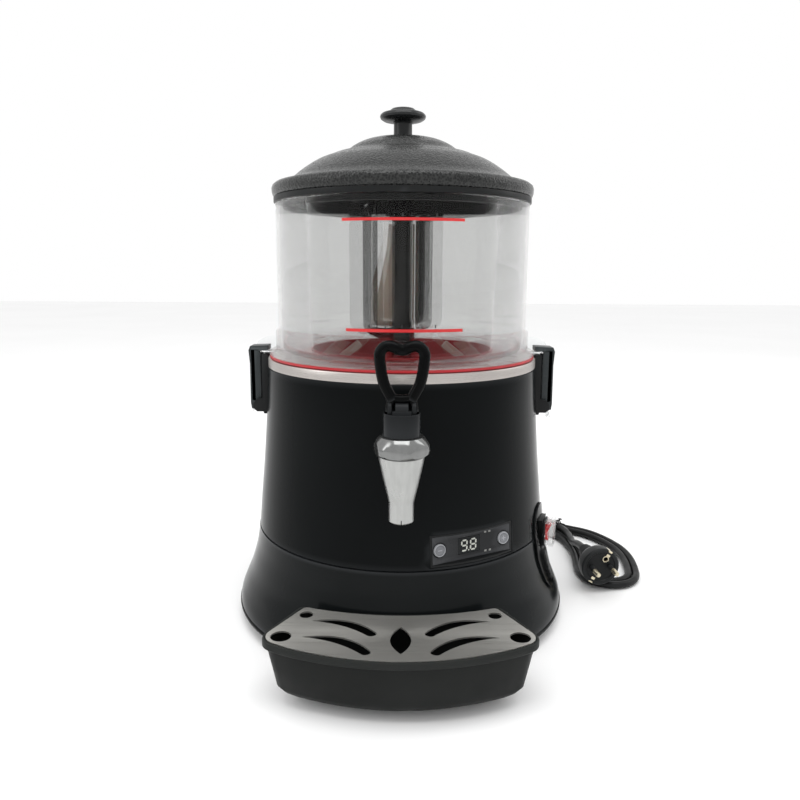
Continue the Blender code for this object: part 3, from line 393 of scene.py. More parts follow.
class Finish:
    """A Principled material that gains detail a layer at a time."""

    def __init__(self, name, color, **sockets):
        self.material = bpy.data.materials.new(name)
        self.material.use_nodes = True
        self.nodes = self.material.node_tree.nodes
        self.links = self.material.node_tree.links
        self.bsdf = self.nodes["Principled BSDF"]
        self.color = color
        self.bsdf.inputs["Base Color"].default_value = (*color, 1.0)
        for socket, value in sockets.items():
            self.bsdf.inputs[socket.replace("_", " ")].default_value = value
        self.coords = self.nodes.new("ShaderNodeTexCoord").outputs["Object"]
        self.normal = None

    def add(self, kind, **inputs):
        node = self.nodes.new(kind)
        for name, value in inputs.items():
            socket = node.inputs[name.replace("_", " ")]
            if isinstance(value, bpy.types.NodeSocket):
                self.links.new(value, socket)
            else:
                socket.default_value = value
        return node

    def math(self, operation, a, b=0.0):
        node = self.nodes.new("ShaderNodeMath")
        node.operation = operation
        for socket, value in zip(node.inputs, (a, b)):
            if isinstance(value, bpy.types.NodeSocket):
                self.links.new(value, socket)
            else:
                socket.default_value = value
        return node.outputs[0]

    def stretched(self, scale):
        node = self.add("ShaderNodeMapping", Vector=self.coords, Scale=scale)
        return node.outputs[0]

    def round_the_axis(self, around, across):
        """Coordinates that follow the turned surface: brush lines run round it."""
        shifted = self.add("ShaderNodeMapping", Vector=self.coords, Location=(0.0, -AXIS_Y * MM, 0.0))
        parts = self.add("ShaderNodeSeparateXYZ", Vector=shifted.outputs[0])
        x, y, z = parts.outputs
        squares = self.math("ADD", self.math("MULTIPLY", x, x), self.math("MULTIPLY", y, y))
        reach = self.math("SQRT", squares)
        turn = self.math("ARCTAN2", y, x)
        node = self.nodes.new("ShaderNodeCombineXYZ")
        self.links.new(self.math("MULTIPLY", reach, across), node.inputs[0])
        self.links.new(self.math("MULTIPLY", turn, around), node.inputs[1])
        self.links.new(self.math("MULTIPLY", z, across), node.inputs[2])
        return node.outputs[0]

    def noise(self, scale, detail=3.0, coords=None):
        coords = coords or self.coords
        node = self.add("ShaderNodeTexNoise", Vector=coords, Scale=scale, Detail=detail, Roughness=0.55)
        return node.outputs["Fac"]

    def cells(self, scale):
        node = self.add("ShaderNodeTexVoronoi", Vector=self.coords, Scale=scale, Randomness=1.0)
        return node.outputs["Distance"]

    def range(self, fac, low, high, start=0.3, stop=0.7):
        node = self.add("ShaderNodeMapRange", Value=fac)
        for name, value in (("From Min", start), ("From Max", stop), ("To Min", low), ("To Max", high)):
            node.inputs[name].default_value = value
        return node.outputs[0]

    def vary_roughness(self, fac, low, high):
        self.links.new(self.range(fac, low, high), self.bsdf.inputs["Roughness"])
        return self

    def vary_color(self, fac, other, start=0.3, stop=0.7):
        node = self.nodes.new("ShaderNodeMix")
        node.data_type = "RGBA"
        self.links.new(self.range(fac, 0.0, 1.0, start, stop), node.inputs["Factor"])
        current = self.bsdf.inputs["Base Color"]
        if current.is_linked:
            self.links.new(current.links[0].from_socket, node.inputs[6])
        else:
            node.inputs[6].default_value = (*self.color, 1.0)
        node.inputs[7].default_value = (*other, 1.0)
        self.links.new(node.outputs[2], current)
        return self

    def wear_and_sheen_edges(self, other):
        # Lighter colour on sharp convex edges: partly edge wear, partly a painted sheen along the edges.
        edge = self.nodes.new("ShaderNodeNewGeometry").outputs["Pointiness"]
        return self.vary_color(edge, other, 0.52, 0.62)

    def bump(self, fac, strength, distance):
        node = self.add("ShaderNodeBump", Height=fac, Strength=strength, Distance=distance)
        if self.normal is not None:
            self.links.new(self.normal, node.inputs["Normal"])
        self.normal = node.outputs[0]
        self.links.new(self.normal, self.bsdf.inputs["Normal"])
        return self

    def grain(self, scale, strength, distance, patches, low, high):
        """Fine bumps all over, and a roughness that drifts in patches."""
        self.bump(self.noise(scale), strength, distance)
        return self.vary_roughness(self.noise(patches, 4.0), low, high)


def gloss_black(name, color=(0.003, 0.0036, 0.0038), ior=1.13):
    """Deep glossy shell with a faint orange peel and handling haze."""
    made = Finish(name, color, IOR=ior)
    made.bump(made.noise(160, 2.0), 0.05, 0.0006)
    made.vary_roughness(made.noise(14, 5.0), 0.10, 0.24)
    made.vary_color(made.noise(5, 3.0), tuple(c * 1.6 for c in color))
    return made.wear_and_sheen_edges((0.03, 0.032, 0.034)).material


def satin_black(name, color=(0.0065, 0.007, 0.0072), roughness=0.38, scale=900.0, ior=1.24):
    """Moulded plastic with a fine spark-eroded grain."""
    made = Finish(name, color, IOR=ior)
    made.grain(scale, 0.16, 0.0003, 40, roughness - 0.08, roughness + 0.12)
    made.vary_color(made.noise(9, 3.0), tuple(c * 1.5 for c in color))
    return made.wear_and_sheen_edges(tuple(c * 3.4 for c in color)).material


def steel(name, lay, color=(0.62, 0.6, 0.565), roughness=0.3, metallic=1.0):
    """Brushed stainless steel; the brushing runs round the axis or along X."""
    made = Finish(name, color, Metallic=metallic, Anisotropic=0.55)
    if lay == "round":
        coords = made.round_the_axis(3.0, 2600.0)
    else:
        coords = made.stretched((14.0, 2400.0, 2400.0))
    fine = made.noise(1.0, 4.0, coords)
    made.bump(fine, 0.22, 0.0002)
    made.vary_roughness(fine, roughness - 0.1, roughness + 0.14)
    return made.vary_color(made.noise(11, 4.0), tuple(c * 0.8 for c in color)).material


def hammered(name):
    """Dark hammered powder coat: dimples between raised ridges, with the ridges painted lighter as a
    painted sparkle.
    """
    made = Finish(name, (0.006, 0.0065, 0.0065), IOR=1.34)
    dimples = made.cells(560.0)
    made.bump(dimples, 0.4, 0.0009)
    made.bump(made.noise(900.0, 3.0), 0.22, 0.0005)
    made.vary_roughness(made.noise(300.0, 2.0), 0.12, 0.3)
    # Painted highlight: the ridges between the dimples are made lighter in colour to stand for their
    # shine.
    return made.vary_color(dimples, (0.026, 0.027, 0.026), 0.3, 0.7).material


def satin_silver(name, color, roughness):
    """Satin chrome with faint darker streaks down it, painted as streaky reflections."""
    made = Finish(name, color, Metallic=0.85)
    made.grain(700.0, 0.08, 0.0002, 60.0, roughness - 0.1, roughness + 0.1)
    # Painted reflection: darker streaks that run down the part.
    reflection_streaks = made.noise(1.0, 3.0, made.stretched((240.0, 240.0, 6.0)))
    return made.vary_color(reflection_streaks, tuple(c * 0.88 for c in color), 0.35, 0.7).material


def polished_bar(name):
    """Drawn bar with a near-black colour that is a painted reflection of a dark room, and lighter bands
    along it that are painted reflection streaks.
    """
    # The near-black base colour is painted shade: the bar is shown as if it reflects a dark room.
    made = Finish(name, (0.03, 0.03, 0.029), Metallic=1.0)
    fine = made.noise(1.0, 3.0, made.stretched((900.0, 900.0, 22.0)))
    made.bump(fine, 0.1, 0.0002)
    # Painted reflection: lighter bands that run along the bar.
    reflection_bands = made.noise(1.0, 2.0, made.stretched((120.0, 120.0, 3.0)))
    made.vary_color(reflection_bands, (0.15, 0.145, 0.137), 0.55, 0.85)
    return made.vary_roughness(fine, 0.1, 0.26).material


def clear_plastic(name, color, alpha):
    """Clear moulded plastic with faint haze, draw lines and fine scratches."""
    made = Finish(name, color, Transmission_Weight=1.0, IOR=1.3, Alpha=alpha)
    lines = made.noise(1.0, 3.0, made.round_the_axis(40.0, 9.0))
    made.bump(lines, 0.05, 0.0008)
    return made.vary_roughness(made.noise(16.0, 5.0), 0.0, 0.03).material


def silicone(name):
    made = Finish(name, (0.46, 0.007, 0.014), Subsurface_Weight=0.1, Subsurface_Scale=0.004)
    made.grain(420.0, 0.12, 0.0003, 35.0, 0.32, 0.55)
    return made.vary_color(made.noise(22.0, 4.0), (0.34, 0.006, 0.011)).material


def rubber(name):
    made = Finish(name, (0.006, 0.0062, 0.0064), IOR=1.28)
    made.grain(650.0, 0.2, 0.0003, 55.0, 0.3, 0.55)
    return made.vary_color(made.noise(30.0, 3.0), (0.012, 0.0125, 0.013)).material


def plastic(name, color, roughness, other=None, **sockets):
    made = Finish(name, color, **sockets)
    made.grain(600.0, 0.1, 0.0003, 45.0, roughness - 0.08, roughness + 0.1)
    return made.vary_color(made.noise(25.0, 3.0), other or tuple(c * 0.82 for c in color)).material


def lit(name, color, strength):
    made = Finish(name, color, Roughness=0.5, Emission_Color=(*color, 1.0), Emission_Strength=strength)
    made.bump(made.noise(900.0, 2.0), 0.05, 0.0002)
    return made.material


BODY = gloss_black("gloss_body")
SKIRT = gloss_black("gloss_skirt", (0.0042, 0.005, 0.0052), 1.19)
LIP = gloss_black("gloss_lip", (0.004, 0.0045, 0.0045))
BLACK = satin_black("satin_black")
GLOSSY = gloss_black("handle_black", (0.0012, 0.0014, 0.0015), 1.14)
KNOB = satin_black("knob_black", (0.0085, 0.0092, 0.0095), 0.3, 700.0, 1.34)
LATCH = satin_black("latch_black", (0.02, 0.023, 0.024), 0.34)
TRAY = satin_black("tray_grey", (0.009, 0.0097, 0.0092), 0.42, 1200.0, 1.18)
RING = steel("ring_steel", "round", (0.52, 0.485, 0.46))
PLATE = steel("plate_steel", "along", (0.6, 0.59, 0.555), 0.36, 0.82)
HIDDEN_STEEL = steel("stamped_steel", "along", (0.5, 0.5, 0.49), 0.38)
LID = hammered("hammered_lid")
SILVER = satin_silver("nozzle_silver", (0.42, 0.425, 0.415), 0.32)
NUT_SILVER = satin_silver("nut_silver", (0.21, 0.213, 0.21), 0.16)
BAR = polished_bar("bar_steel")
CLEAR = clear_plastic("clear_bowl", (0.42, 0.425, 0.415), 0.4)
CLEAR_BOOT = clear_plastic("clear_boot", (0.8, 0.8, 0.8), 0.24)
CLEAR_TAB = clear_plastic("clear_tab", (0.85, 0.87, 0.87), 0.62)
FROST = plastic("flange_frost", (0.4, 0.33, 0.325), 0.3, (0.5, 0.44, 0.43))
RED = silicone("red_silicone")
RUBBER = rubber("cord_rubber")
BAND_RED = plastic("band_red", (0.62, 0.018, 0.02), 0.4)
PRINT = plastic("print_black", (0.02, 0.02, 0.02), 0.5)
PALE = plastic("pale_plastic", (0.62, 0.58, 0.52), 0.4, (0.55, 0.5, 0.43), Subsurface_Weight=0.15)
ROCKER = plastic("rocker_red", (0.5, 0.012, 0.014), 0.22, Coat_Weight=0.6)
GREY = plastic("button_grey", (0.17, 0.175, 0.19), 0.34)
GREY_RING = plastic("button_ring", (0.36, 0.37, 0.39), 0.3)
GLASS = gloss_black("display_glass", (0.0085, 0.0095, 0.0098), 1.16)
DIGIT = lit("digit_light", (0.42, 0.43, 0.39), 0.22)
LAMP = lit("lamp_light", (0.2, 0.2, 0.19), 0.12)
BRASS = plastic("pin_metal", (0.72, 0.66, 0.5), 0.3, (0.6, 0.53, 0.38), Metallic=0.9)
BOARD = plastic("board_green", (0.02, 0.12, 0.045), 0.45)
MICA = plastic("mica_band", (0.42, 0.37, 0.27), 0.5, (0.3, 0.26, 0.18))
ZINC = plastic("zinc_plate", (0.5, 0.51, 0.52), 0.36, (0.4, 0.4, 0.38), Metallic=0.85)


# ---- camera and light


def build_camera():
    camera = bpy.data.cameras.new("camera")
    camera.lens = LENS
    camera.sensor_width = SENSOR
    camera.dof.use_dof = False
    eye = linked("camera", camera)
    tilt = Matrix.Rotation(math.radians(90 - EYE_PITCH), 4, "X")
    roll = Matrix.Rotation(math.radians(EYE_ROLL), 4, "Z")
    eye.matrix_world = Matrix.Translation((EYE_X, AXIS_Y * MM - EYE_BACK, EYE_HIGH)) @ tilt @ roll
    bpy.context.scene.camera = eye


def soft_light(name, place, aim, size, power):
    light = bpy.data.lights.new(name, "AREA")
    light.shape = "RECTANGLE"
    light.size, light.size_y = size
    light.energy = power
    lamp = linked(name, light)
    lamp.location = place
    lamp.rotation_euler = (Vector(aim) - Vector(place)).to_track_quat("-Z", "Y").to_euler()


def build_world():
    world = bpy.data.worlds.new("studio")
    world.use_nodes = True
    back = world.node_tree.nodes["Background"]
    back.inputs["Color"].default_value = (1.0, 1.0, 1.0, 1.0)
    back.inputs["Strength"].default_value = 1.0
    bpy.context.scene.world = world


def build_stage():
    build_world()
    bpy.context.scene.view_settings.view_transform = "Standard"
    bm = bmesh.new()
    bmesh.ops.create_grid(bm, x_segments=8, y_segments=8, size=6000.0)
    floor = raw_object("floor", bm)
    made = Finish("floor_white", (0.93, 0.93, 0.93), Roughness=0.8)
    made.vary_color(made.noise(2.0, 2.0), (0.91, 0.91, 0.91))
    floor.data.materials.append(made.material)
    floor.location.z = -0.0004
    soft_light("top", (0.0, -0.5, 1.9), (0, 0.0, 0.1), (1.6, 0.9), 16)
    soft_light("left", (-1.6, -0.5, 1.2), (0, 0, 0.2), (0.5, 1.4), 7)
    soft_light("right", (1.6, 0.3, 1.2), (0, 0, 0.2), (0.5, 1.4), 5)


# ---- cord


def lane(inset, backwards=False):
    """One side of the hank, from rear to front, as points on the floor."""
    line = smooth_path(HANK_LINE, 9.0)
    middles = [Vector((p.x, p.y)) for p in line]
    points = []
    for i, (middle, spot) in enumerate(zip(middles, line)):
        before = middles[max(i - 1, 0)]
        after = middles[min(i + 1, len(middles) - 1)]
        along = (after - before).normalized()
        side = Vector((-along.y, along.x)) * (spot.z - inset)
        points.append(middle - side if backwards else middle + side)
    return points[::-1] if backwards else points


def half_ring(centre, start, sweep, radius, end_radius, count=16):
    """Points round an end of the hank, while the radius changes."""
    points = []
    for i in range(count + 1):
        t = i / count
        turn = math.radians(start + sweep * t)
        reach = radius + (end_radius - radius) * t
        points.append(Vector((centre[0] + reach * math.cos(turn), centre[1] + reach * math.sin(turn))))
    return points


def cord_route():
    """The cord's whole centreline, from its exit to the plug, in millimetres."""
    start = Vector(on_azimuth(GLAND_AZ, GLAND_END + GAP, GLAND_Z))
    out = Vector(on_azimuth(GLAND_AZ, 1.0, 0.0))
    first = [
        (99, 172, 44.5), (106, 190, 35), (110.5, 208, 22.5), (114.8, 222, 12.5), (123.5, 234, 6.6),
        (133, 240, CORD_LOW),
    ]
    first = [start, start + out * 14] + [Vector(p) for p in first]
    outer = HANK_LINE[0][2] - OUTER_INSET
    inner = HANK_LINE[0][2] - INNER_INSET
    rear = HANK_LINE[0][:2]
    front = HANK_LINE[-1][:2]
    flat = []
    flat += half_ring(rear, 98, -54, outer + 5.0, outer, 7)
    flat += lane(OUTER_INSET)
    flat += half_ring(front, 10, -182, outer, outer, 16)[1:-1]
    flat += lane(OUTER_INSET, backwards=True)
    flat += half_ring(rear, 222, -176, outer, inner, 14)[2:-1]
    flat += lane(INNER_INSET)
    flat += half_ring(front, 10, -182, inner, inner, 14)[1:-1]
    flat += lane(INNER_INSET, backwards=True)
    laid = [Vector((p.x, p.y, CORD_LOW)) for p in flat]
    high = CORD_LOW + CORD_D + 0.1
    climb = half_ring(rear, 222, -192, inner, 24.8, 15)[1:]
    for i, p in enumerate(climb):
        laid.append(Vector((p.x, p.y, CORD_LOW + (high - CORD_LOW) * min(1.0, (i + 2) / 6.0))))
    last = [
        (181, 186, high), (190, 173, high - 0.6), (196, 164, high - 1), (200.5, 152, high - 0.6),
        (202.5, 137, high), (201.5, 118, high + 0.6), (198.5, 98, high + 3.4), (197, 78, 23.5),
    ]
    axes = facing_frame(PLUG_AZ, 0, PLUG_FACE)
    tail = [axes @ Vector((0, 0, -PLUG_LONG - reach)) for reach in (12.0, GAP)]
    return first + laid + [Vector(p) for p in last] + tail


def evened(points, spacing):
    """Points at even spacing along a smooth curve through the given ones."""
    eased = smooth_path(points, spacing / 3)
    for _ in range(EASE_ROUNDS):
        inside = zip(eased, eased[1:], eased[2:])
        middle = [b + ((a + c) / 2 - b) * 0.5 for a, b, c in inside]
        eased = [eased[0], eased[1]] + middle[1:-1] + [eased[-2], eased[-1]]
    path = [eased[0]]
    left = spacing
    for a, b in zip(eased, eased[1:]):
        step = (b - a).length
        while step >= left:
            a = a + (b - a).normalized() * left
            step = (b - a).length
            path.append(a)
            left = spacing
        left -= step
    return path + [eased[-1]]


def build_cord():
    """The cord with its tie and plug."""
    route = evened(cord_route(), 5.0)
    curve = bpy.data.curves.new("mains_cord", "CURVE")
    curve.dimensions = "3D"
    curve.bevel_depth = CORD_R * MM
    curve.bevel_resolution = 6
    curve.use_fill_caps = True
    spline = curve.splines.new("POLY")
    spline.points.add(len(route) - 1)
    for spot, place in zip(spline.points, route):
        spot.co = (*to_world(place), 1.0)
    curve.materials.append(RUBBER)
    cord = linked("mains_cord", curve)
    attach(cord, "machine")
    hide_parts("power_cord", "cord_hank", "plug_lead")
    tie = build_tie()
    plug_pieces = build_plug()


def ridge(body, reach, rise, groove):
    """One rib round a sleeve, and the groove after it, on the side that rise points to."""
    way = math.copysign(1.0, rise)
    rib = [(body + 0.7, reach + rise), (body + 0.7, reach + 2.2 * way)]
    return rib + [(body - groove, reach + 2.6 * way), (body - groove, reach + 3.8 * way)]


def build_relief():
    """Ribbed sleeve that leads the cord out of the skirt."""
    outline = [(0, 134), (8.0, 134), (8.0, 150.4), (11.5, 150.9), (11.5, 153.4), (10.5, 154.2)]
    reach = 155.0
    while reach < 186.0:
        body = 8.4 - 3.6 * (reach - 155.0) / 31.0
        outline += ridge(body, reach, 0.4, 0.2)
        reach += 4.2
    outline += [(4.3, reach), (0, reach)]
    bm = turned(outline, 40, facing_frame(GLAND_AZ, 0, (0, 0, GLAND_Z)))
    piece("strain_relief", bm, RUBBER, ("cord_gland",), angle=50)


def build_tie():
    """Wire tie drawn round the waist of the hank, with its twisted ends."""
    before = Vector(HANK_LINE[1][:2])
    centre = Vector(HANK_LINE[2][:2])
    axis = Vector(HANK_LINE[3][:2]) - before
    turn = math.atan2(axis.y, axis.x)
    axes = Matrix.Translation((centre.x, centre.y, 0)) @ Matrix.Rotation(turn, 4, "Z")
    half = 18.4
    loop = [
        (-half + 3, 0.75), (half - 3, 0.75), (half, 3.4), (half - 0.4, 7.4), (9, 10.6), (4.6, 16),
        (-4.6, 16), (-9, 10.6), (-half + 0.4, 7.4), (-half, 3.4),
    ]
    ring = soft_outline(loop, 3.0, 5)
    bands = []
    for shift in (-1.3, 1.3):
        path = [(shift, a, b) for a, b in ring + ring[:2]]
        band = tube_mesh(path, 0.7, 10)
        band.transform(axes)
        bands.append(band)
    ends = [(0, 4, 15.8), (1.5, 5, 16.9), (-1.0, 7, 17.0), (1.0, 9, 16.6), (0.0, 11, 15.2)]
    twist = tube_mesh(smooth_path(ends, 0.8), 0.8, 10)
    twist.transform(axes)
    return piece("cord_tie_wire", merged(*bands, twist), BLACK, ("cord_tie",))


def build_plug():
    """Moulded plug with two round pins, an earth socket and side earth clips."""
    axes = facing_frame(PLUG_AZ, 0, PLUG_FACE)
    outline = [(0, -0.8), (14.6, -0.8), (15.2, 0), (18.4, 0), (PLUG_R, -1.1), (PLUG_R, -9), (18.6, -12.5)]
    outline += [(15, -19), (11.4, -24.5), (9.2, -29)]
    reach = -29.0
    while reach > -43.0:
        body = 8.6 + (reach + 29.0) * 0.2
        outline += ridge(body, reach, -0.6, 0.3)
        reach -= 4.2
    outline += [(5.0, -PLUG_LONG), (0, -PLUG_LONG)]
    body = turned(outline, FINE_STEPS, axes)
    spin = axes @ Matrix.Rotation(math.radians(-32), 4, "Z")
    grooves = [box_mesh((-3.2, s * 18.6 - 1.2, -12), (3.2, s * 18.6 + 1.2, 2), spin) for s in (-1, 1)]
    recess = turned([(0, -6), (3.4, -6), (3.4, 3), (0, 3)], 32, spin @ Matrix.Translation((0, 9.4, 0)))
    made = piece(
        "plug_moulding", body, BLACK, ("plug_body",), cutters=grooves + [recess]
    )
    rim = lathe_mesh([(2.3, -3), (3.3, -3), (3.3, -0.3), (2.3, -0.3)], 32)
    rim.transform(spin @ Matrix.Translation((0, 9.4, 0)))
    clips = [rim]
    for s in (-1, 1):
        clips.append(box_mesh((-2.4, s * 18.4 - 0.5, -11), (2.4, s * 18.4 + 0.5, -0.4), spin))
        ends = sorted((s * 18.8, s * 12.5))
        clips.append(box_mesh((-2.0, ends[0], -0.9), (2.0, ends[1], -0.1), spin))
    earth = piece("plug_earth_metal", merged(*clips), BRASS, bevel=0.25)
    pieces = [made, earth]
    for i, u in enumerate((-9.5, 9.5)):
        pin = lathe_mesh([(0, GAP), (2.4, GAP), (2.4, 17.4), (2.0, 18.6), (1.0, 19.3), (0, 19.3)], 28)
        pin.transform(axes @ Matrix.Translation((u, 0, 0)))
        sleeve = lathe_mesh([(2.3, GAP), (2.55, GAP), (2.55, 8.5), (2.3, 8.5)], 28)
        sleeve.transform(axes @ Matrix.Translation((u, 0, 0)))
        pieces.append(piece(f"pin_{i + 1}", pin, BRASS, (f"plug_pin_{i + 1}",)))
        pieces.append(piece(f"pin_sleeve_{i + 1}", sleeve, BLACK))
    return pieces


# ---- body


def panel_frame():
    return facing_frame(PANEL_AZ, PANEL_TILT, on_azimuth(PANEL_AZ, PANEL_DIST, PANEL_Z))


def fine_outline(outline, spacing):
    return [(p.x, p.y) for p in smooth_path([(r, z, 0) for r, z in outline], spacing)]


def build_body():
    skirt = fine_outline(SKIRT_OUTLINE, 3.0)
    inner = [(r - WALL, z) for r, z in reversed(skirt)]
    piece("skirt_moulding", lathe_mesh(skirt + inner), SKIRT, ("base_skirt",))
    shell = fine_outline(SHELL_OUTLINE, 6.0)
    shell = [(125.0, 236.2)] + [(shell[0][0], 235.8)] + shell[1:-1] + [(136.85, 86.9), (136.4, 86.2)]
    tongue = [(134.3, 86.2), (134.3, 78.5), (132.2, 78.5), (132.2, 92.0)]
    back = [(r - WALL, z) for r, z in reversed(SHELL_OUTLINE[1:4])]
    flange = [(123.0, 233.7), (112.0, 233.7), (112.0, 236.2)]
    half_w = PANEL_W / 2 + GAP
    half_h = PANEL_H / 2 + GAP
    window = box_mesh((-half_w, -half_h, -12), (half_w, half_h, 25), panel_frame())
    outline = shell + tongue + back + flange
    piece("shell_moulding", lathe_mesh(outline), BODY, ("body_shell",), [window])
    lip = soft_outline([(156, 9), (158, 10.5), (158, 12.5), (157, 13.6), (150, 13.6), (150, 12)], 0.8)
    lip = [(0, 9.0)] + lip + [(0, 12.0)]
    piece("base_lip", lathe_mesh(lip), LIP, ("base_plate",))
    ring = [
        (RING_R, 236.6), (RING_R, 243.4), (RING_R - 0.5, 244.3), (RING_R - 1.2, 244.5),
        (WELL_R + 1, 244.5), (WELL_R, 243.5), (WELL_R, 163.0), (84.2, 158.0), (80.0, 154.5),
        (7.5, 154.5), (7.5, 252), (6, 252), (6, 153), (80.6, 153), (87.2, 159.4), (87.2, 243),
        (123.5, 243), (123.5, 236.6),
    ]
    piece("ring_and_well", lathe_mesh(ring), RING, ("tank",))


def build_panel():
    axes = panel_frame()
    softened("control_panel", BLACK, 0.35, "panel_bezel")
    softened("display_window", GLASS, 0.2, "display_pane")
    half_w = PANEL_W / 2 - 2.0
    half_h = PANEL_H / 2 - 2.0
    holes = [box_mesh((DISPLAY_U - 10.6, -6.9, -2), (DISPLAY_U + 10.6, 6.9, 2), axes)]
    for side in (-1, 1):
        hole = lathe_mesh([(0, -3), (6.4, -3), (6.4, 3), (0, 3)], 48)
        hole.transform(axes @ Matrix.Translation((side * BUTTON_U, 0, 0)))
        holes.append(hole)
    sheet = box_mesh((-half_w, -half_h, 0.02), (half_w, half_h, 0.25), axes)
    face = satin_black("panel_film", (0.014, 0.0145, 0.0155), 0.28, 1500.0)
    piece("panel_film", sheet, face, cutters=holes)
    for side, name, body in ((-1, "button_left", "left_button"), (1, "button_right", "right_button")):
        spot = axes @ Matrix.Translation((side * BUTTON_U, 0, 0))
        cap = [(0, -4), (4.2, -4), (4.2, 0.9), (3.9, 1.35), (2.2, 1.2), (0, 1.05)]
        button = turned(cap, 48, spot)
        piece(f"{name}_cap", button, GREY, (name,), body=body)
        ring = turned([(4.25, -4), (5.3, -4), (5.3, 1.0), (5.0, 1.5), (4.5, 1.5), (4.25, 1.1)], 48, spot)
        piece(f"{name}_ring", ring, GREY_RING, body=body)
        marks = [box_mesh((-0.35, -1.9, 0.9), (0.35, 1.9, 1.32), spot)] if side > 0 else []
        marks.append(box_mesh((-1.9, -0.35, 0.9), (1.9, 0.35, 1.32), spot))
        piece(f"{name}_mark", merged(*marks), GREY_RING, body=body)
    build_digits(axes)
    lamps = []
    for u, w in ((13.0, 8.2), (17.2, 8.2), (13.0, -8.0), (17.4, -8.0)):
        lamps.append(box_mesh((u - 1.1, w - 0.8, 0.15), (u + 1.1, w + 0.8, 0.5), axes))
    piece("panel_lamps", merged(*lamps), LAMP, bevel=0.15)


def build_digits(axes):
    """Two seven segment figures, with a point between them, behind the pane."""
    bars = {
        "a": ((-2.1, 4.3), (2.1, 4.3)),
        "b": ((2.5, 3.9), (2.5, 0.4)),
        "c": ((2.5, -0.4), (2.5, -3.9)),
        "d": ((-2.1, -4.3), (2.1, -4.3)),
        "e": ((-2.5, -0.4), (-2.5, -3.9)),
        "f": ((-2.5, 3.9), (-2.5, 0.4)),
        "g": ((-2.1, 0), (2.1, 0)),
    }
    meshes = []
    for centre, lit_bars in ((-4.6, "abcdfg"), (4.0, "abcdefg")):
        for name in lit_bars:
            a, b = (Vector(p) for p in bars[name])
            along = (b - a).normalized() * 0.65
            wide = Vector((-along.y, along.x))
            points = [a, a + along + wide, b - along + wide, b, b - along - wide, a + along - wide]
            outline = [(DISPLAY_U + centre + p.x + p.y * 0.06, p.y) for p in points]
            meshes.append(slab_mesh(outline, 0.32, 0.45, "XY", axes))
    dot = slab_mesh(circle(DISPLAY_U - 0.4, -4.3, 0.6, 16), 0.32, 0.45, "XY", axes)
    piece("display_digits", merged(*meshes, dot), DIGIT)
    frame_low = box_mesh((DISPLAY_U - 9.6, -6.2, 0.3), (DISPLAY_U + 9.6, 6.2, 0.36), axes)
    hole = box_mesh((DISPLAY_U - 9.2, -5.8, 0.1), (DISPLAY_U + 9.2, 5.8, 1), axes)
    piece("display_edge", frame_low, BLACK, cutters=[hole])


def build_switch():
    softened("switch_pod", GLOSSY, 0.6, "switch_surround")
    softened("switch_housing", BLACK, 0.4, "switch_case")
    softened("rocker", ROCKER, 0.6, "rocker_key", body="switch_rocker")
    softened("switch_cover", CLEAR_BOOT, 0.7, "switch_boot")


# ---- faucet


def build_faucet():
    centre = (0, FAUCET_Y)
    outline = [
        (6.9, 137.5), (8.9, 137.5), (9.5, 138.3), (9.5, 151.6), (9.9, 153.8), (17, 186), (17, 188.6),
        (15, 189), (15, 196), (12, 196), (12, 184), (9.2, 161.7), (6.9, 161.7),
    ]
    slit = [
        box_mesh((-0.35, FAUCET_Y - 10, 136), (0.35, FAUCET_Y - 6, 141)),
        box_mesh((6, FAUCET_Y - 0.3, 136), (10, FAUCET_Y + 0.3, 141)),
    ]
    nozzle = lathe_mesh(outline, MIDDLE_STEPS, centre)
    piece("nozzle", nozzle, SILVER, ("faucet_body",), slit)
    boss = lathe_mesh([(11.4, 131.5), (13.4, 131.5), (13.8, 132.2), (13.8, 147), (11.4, 147)], FINE_STEPS)
    boss.transform(facing_frame(0, 0, (0, 0, 175.0)))
    piece("nozzle_boss", boss, SILVER)
    nut = [
        (15.3, 189.3), (17.8, 189.3), (19.6, 190), (21, 191.6), (21.4, 194.2), (20.9, 197.2),
        (19.6, 199.4), (18.2, 201.6), (16.2, 203.6), (13.3, 204), (13.3, 199.5), (15.3, 199.5),
    ]
    prism = slab_mesh(circle(0, 0, 22.4, 6), 186, 210)
    prism.transform(Matrix.Translation((0, FAUCET_Y, 0)) @ Matrix.Rotation(NUT_TURN, 4, "Z"))
    nut = lathe_mesh(nut, MIDDLE_STEPS, centre)
    piece("cap_nut", nut, NUT_SILVER, ("bonnet_nut",), keep=[prism], bevel=0.35)
    tower = [
        (0, 215.1), (3, 215.1), (3, 213), (8, 213), (8, 196.3), (15, 196.3), (15, 199.2), (13, 199.2),
        (13, 211.5), (12.4, 213.6), (10.6, 215.2), (0, 215.5),
    ]
    neck = box_mesh((-7, FAUCET_Y - 6, 215.15), (7, FAUCET_Y + 6, PIVOT_Z))
    knuckle = tube_mesh([(x, FAUCET_Y, PIVOT_Z) for x in (-4.7, 4.7)], 6.0, 40)
    collar = [(12.9, 204.2), (13.9, 204.2), (13.9, 220.4), (13.6, 221.2), (13.0, 221.2), (12.9, 220.4)]
    tower = lathe_mesh(tower, FINE_STEPS, centre)
    collar = lathe_mesh(collar, MIDDLE_STEPS, centre)
    piece("tower", merged(tower, collar, neck, knuckle), GLOSSY, ("faucet_tower",))
    build_return_spring()
    build_handle()


def build_return_spring():
    """Three turns of wire, short enough to stay clear of the tower when the stem lifts."""
    radius = 5.2
    rise = 0.235
    turns = [math.radians(12 * i) for i in range(91)]
    coil = [(radius * math.cos(t), FAUCET_Y + radius * math.sin(t), 201.0 + rise * t) for t in turns]
    piece("return_spring", tube_mesh(coil, 0.6, 12), BAR, ("valve_spring",), body="valve")


def on_pivot(side):
    """Axes of a part turned round the handle's pin, that grows outward to one side."""
    return Matrix.Translation((0, FAUCET_Y, PIVOT_Z)) @ Matrix.Rotation(side * math.pi / 2, 4, "Y")


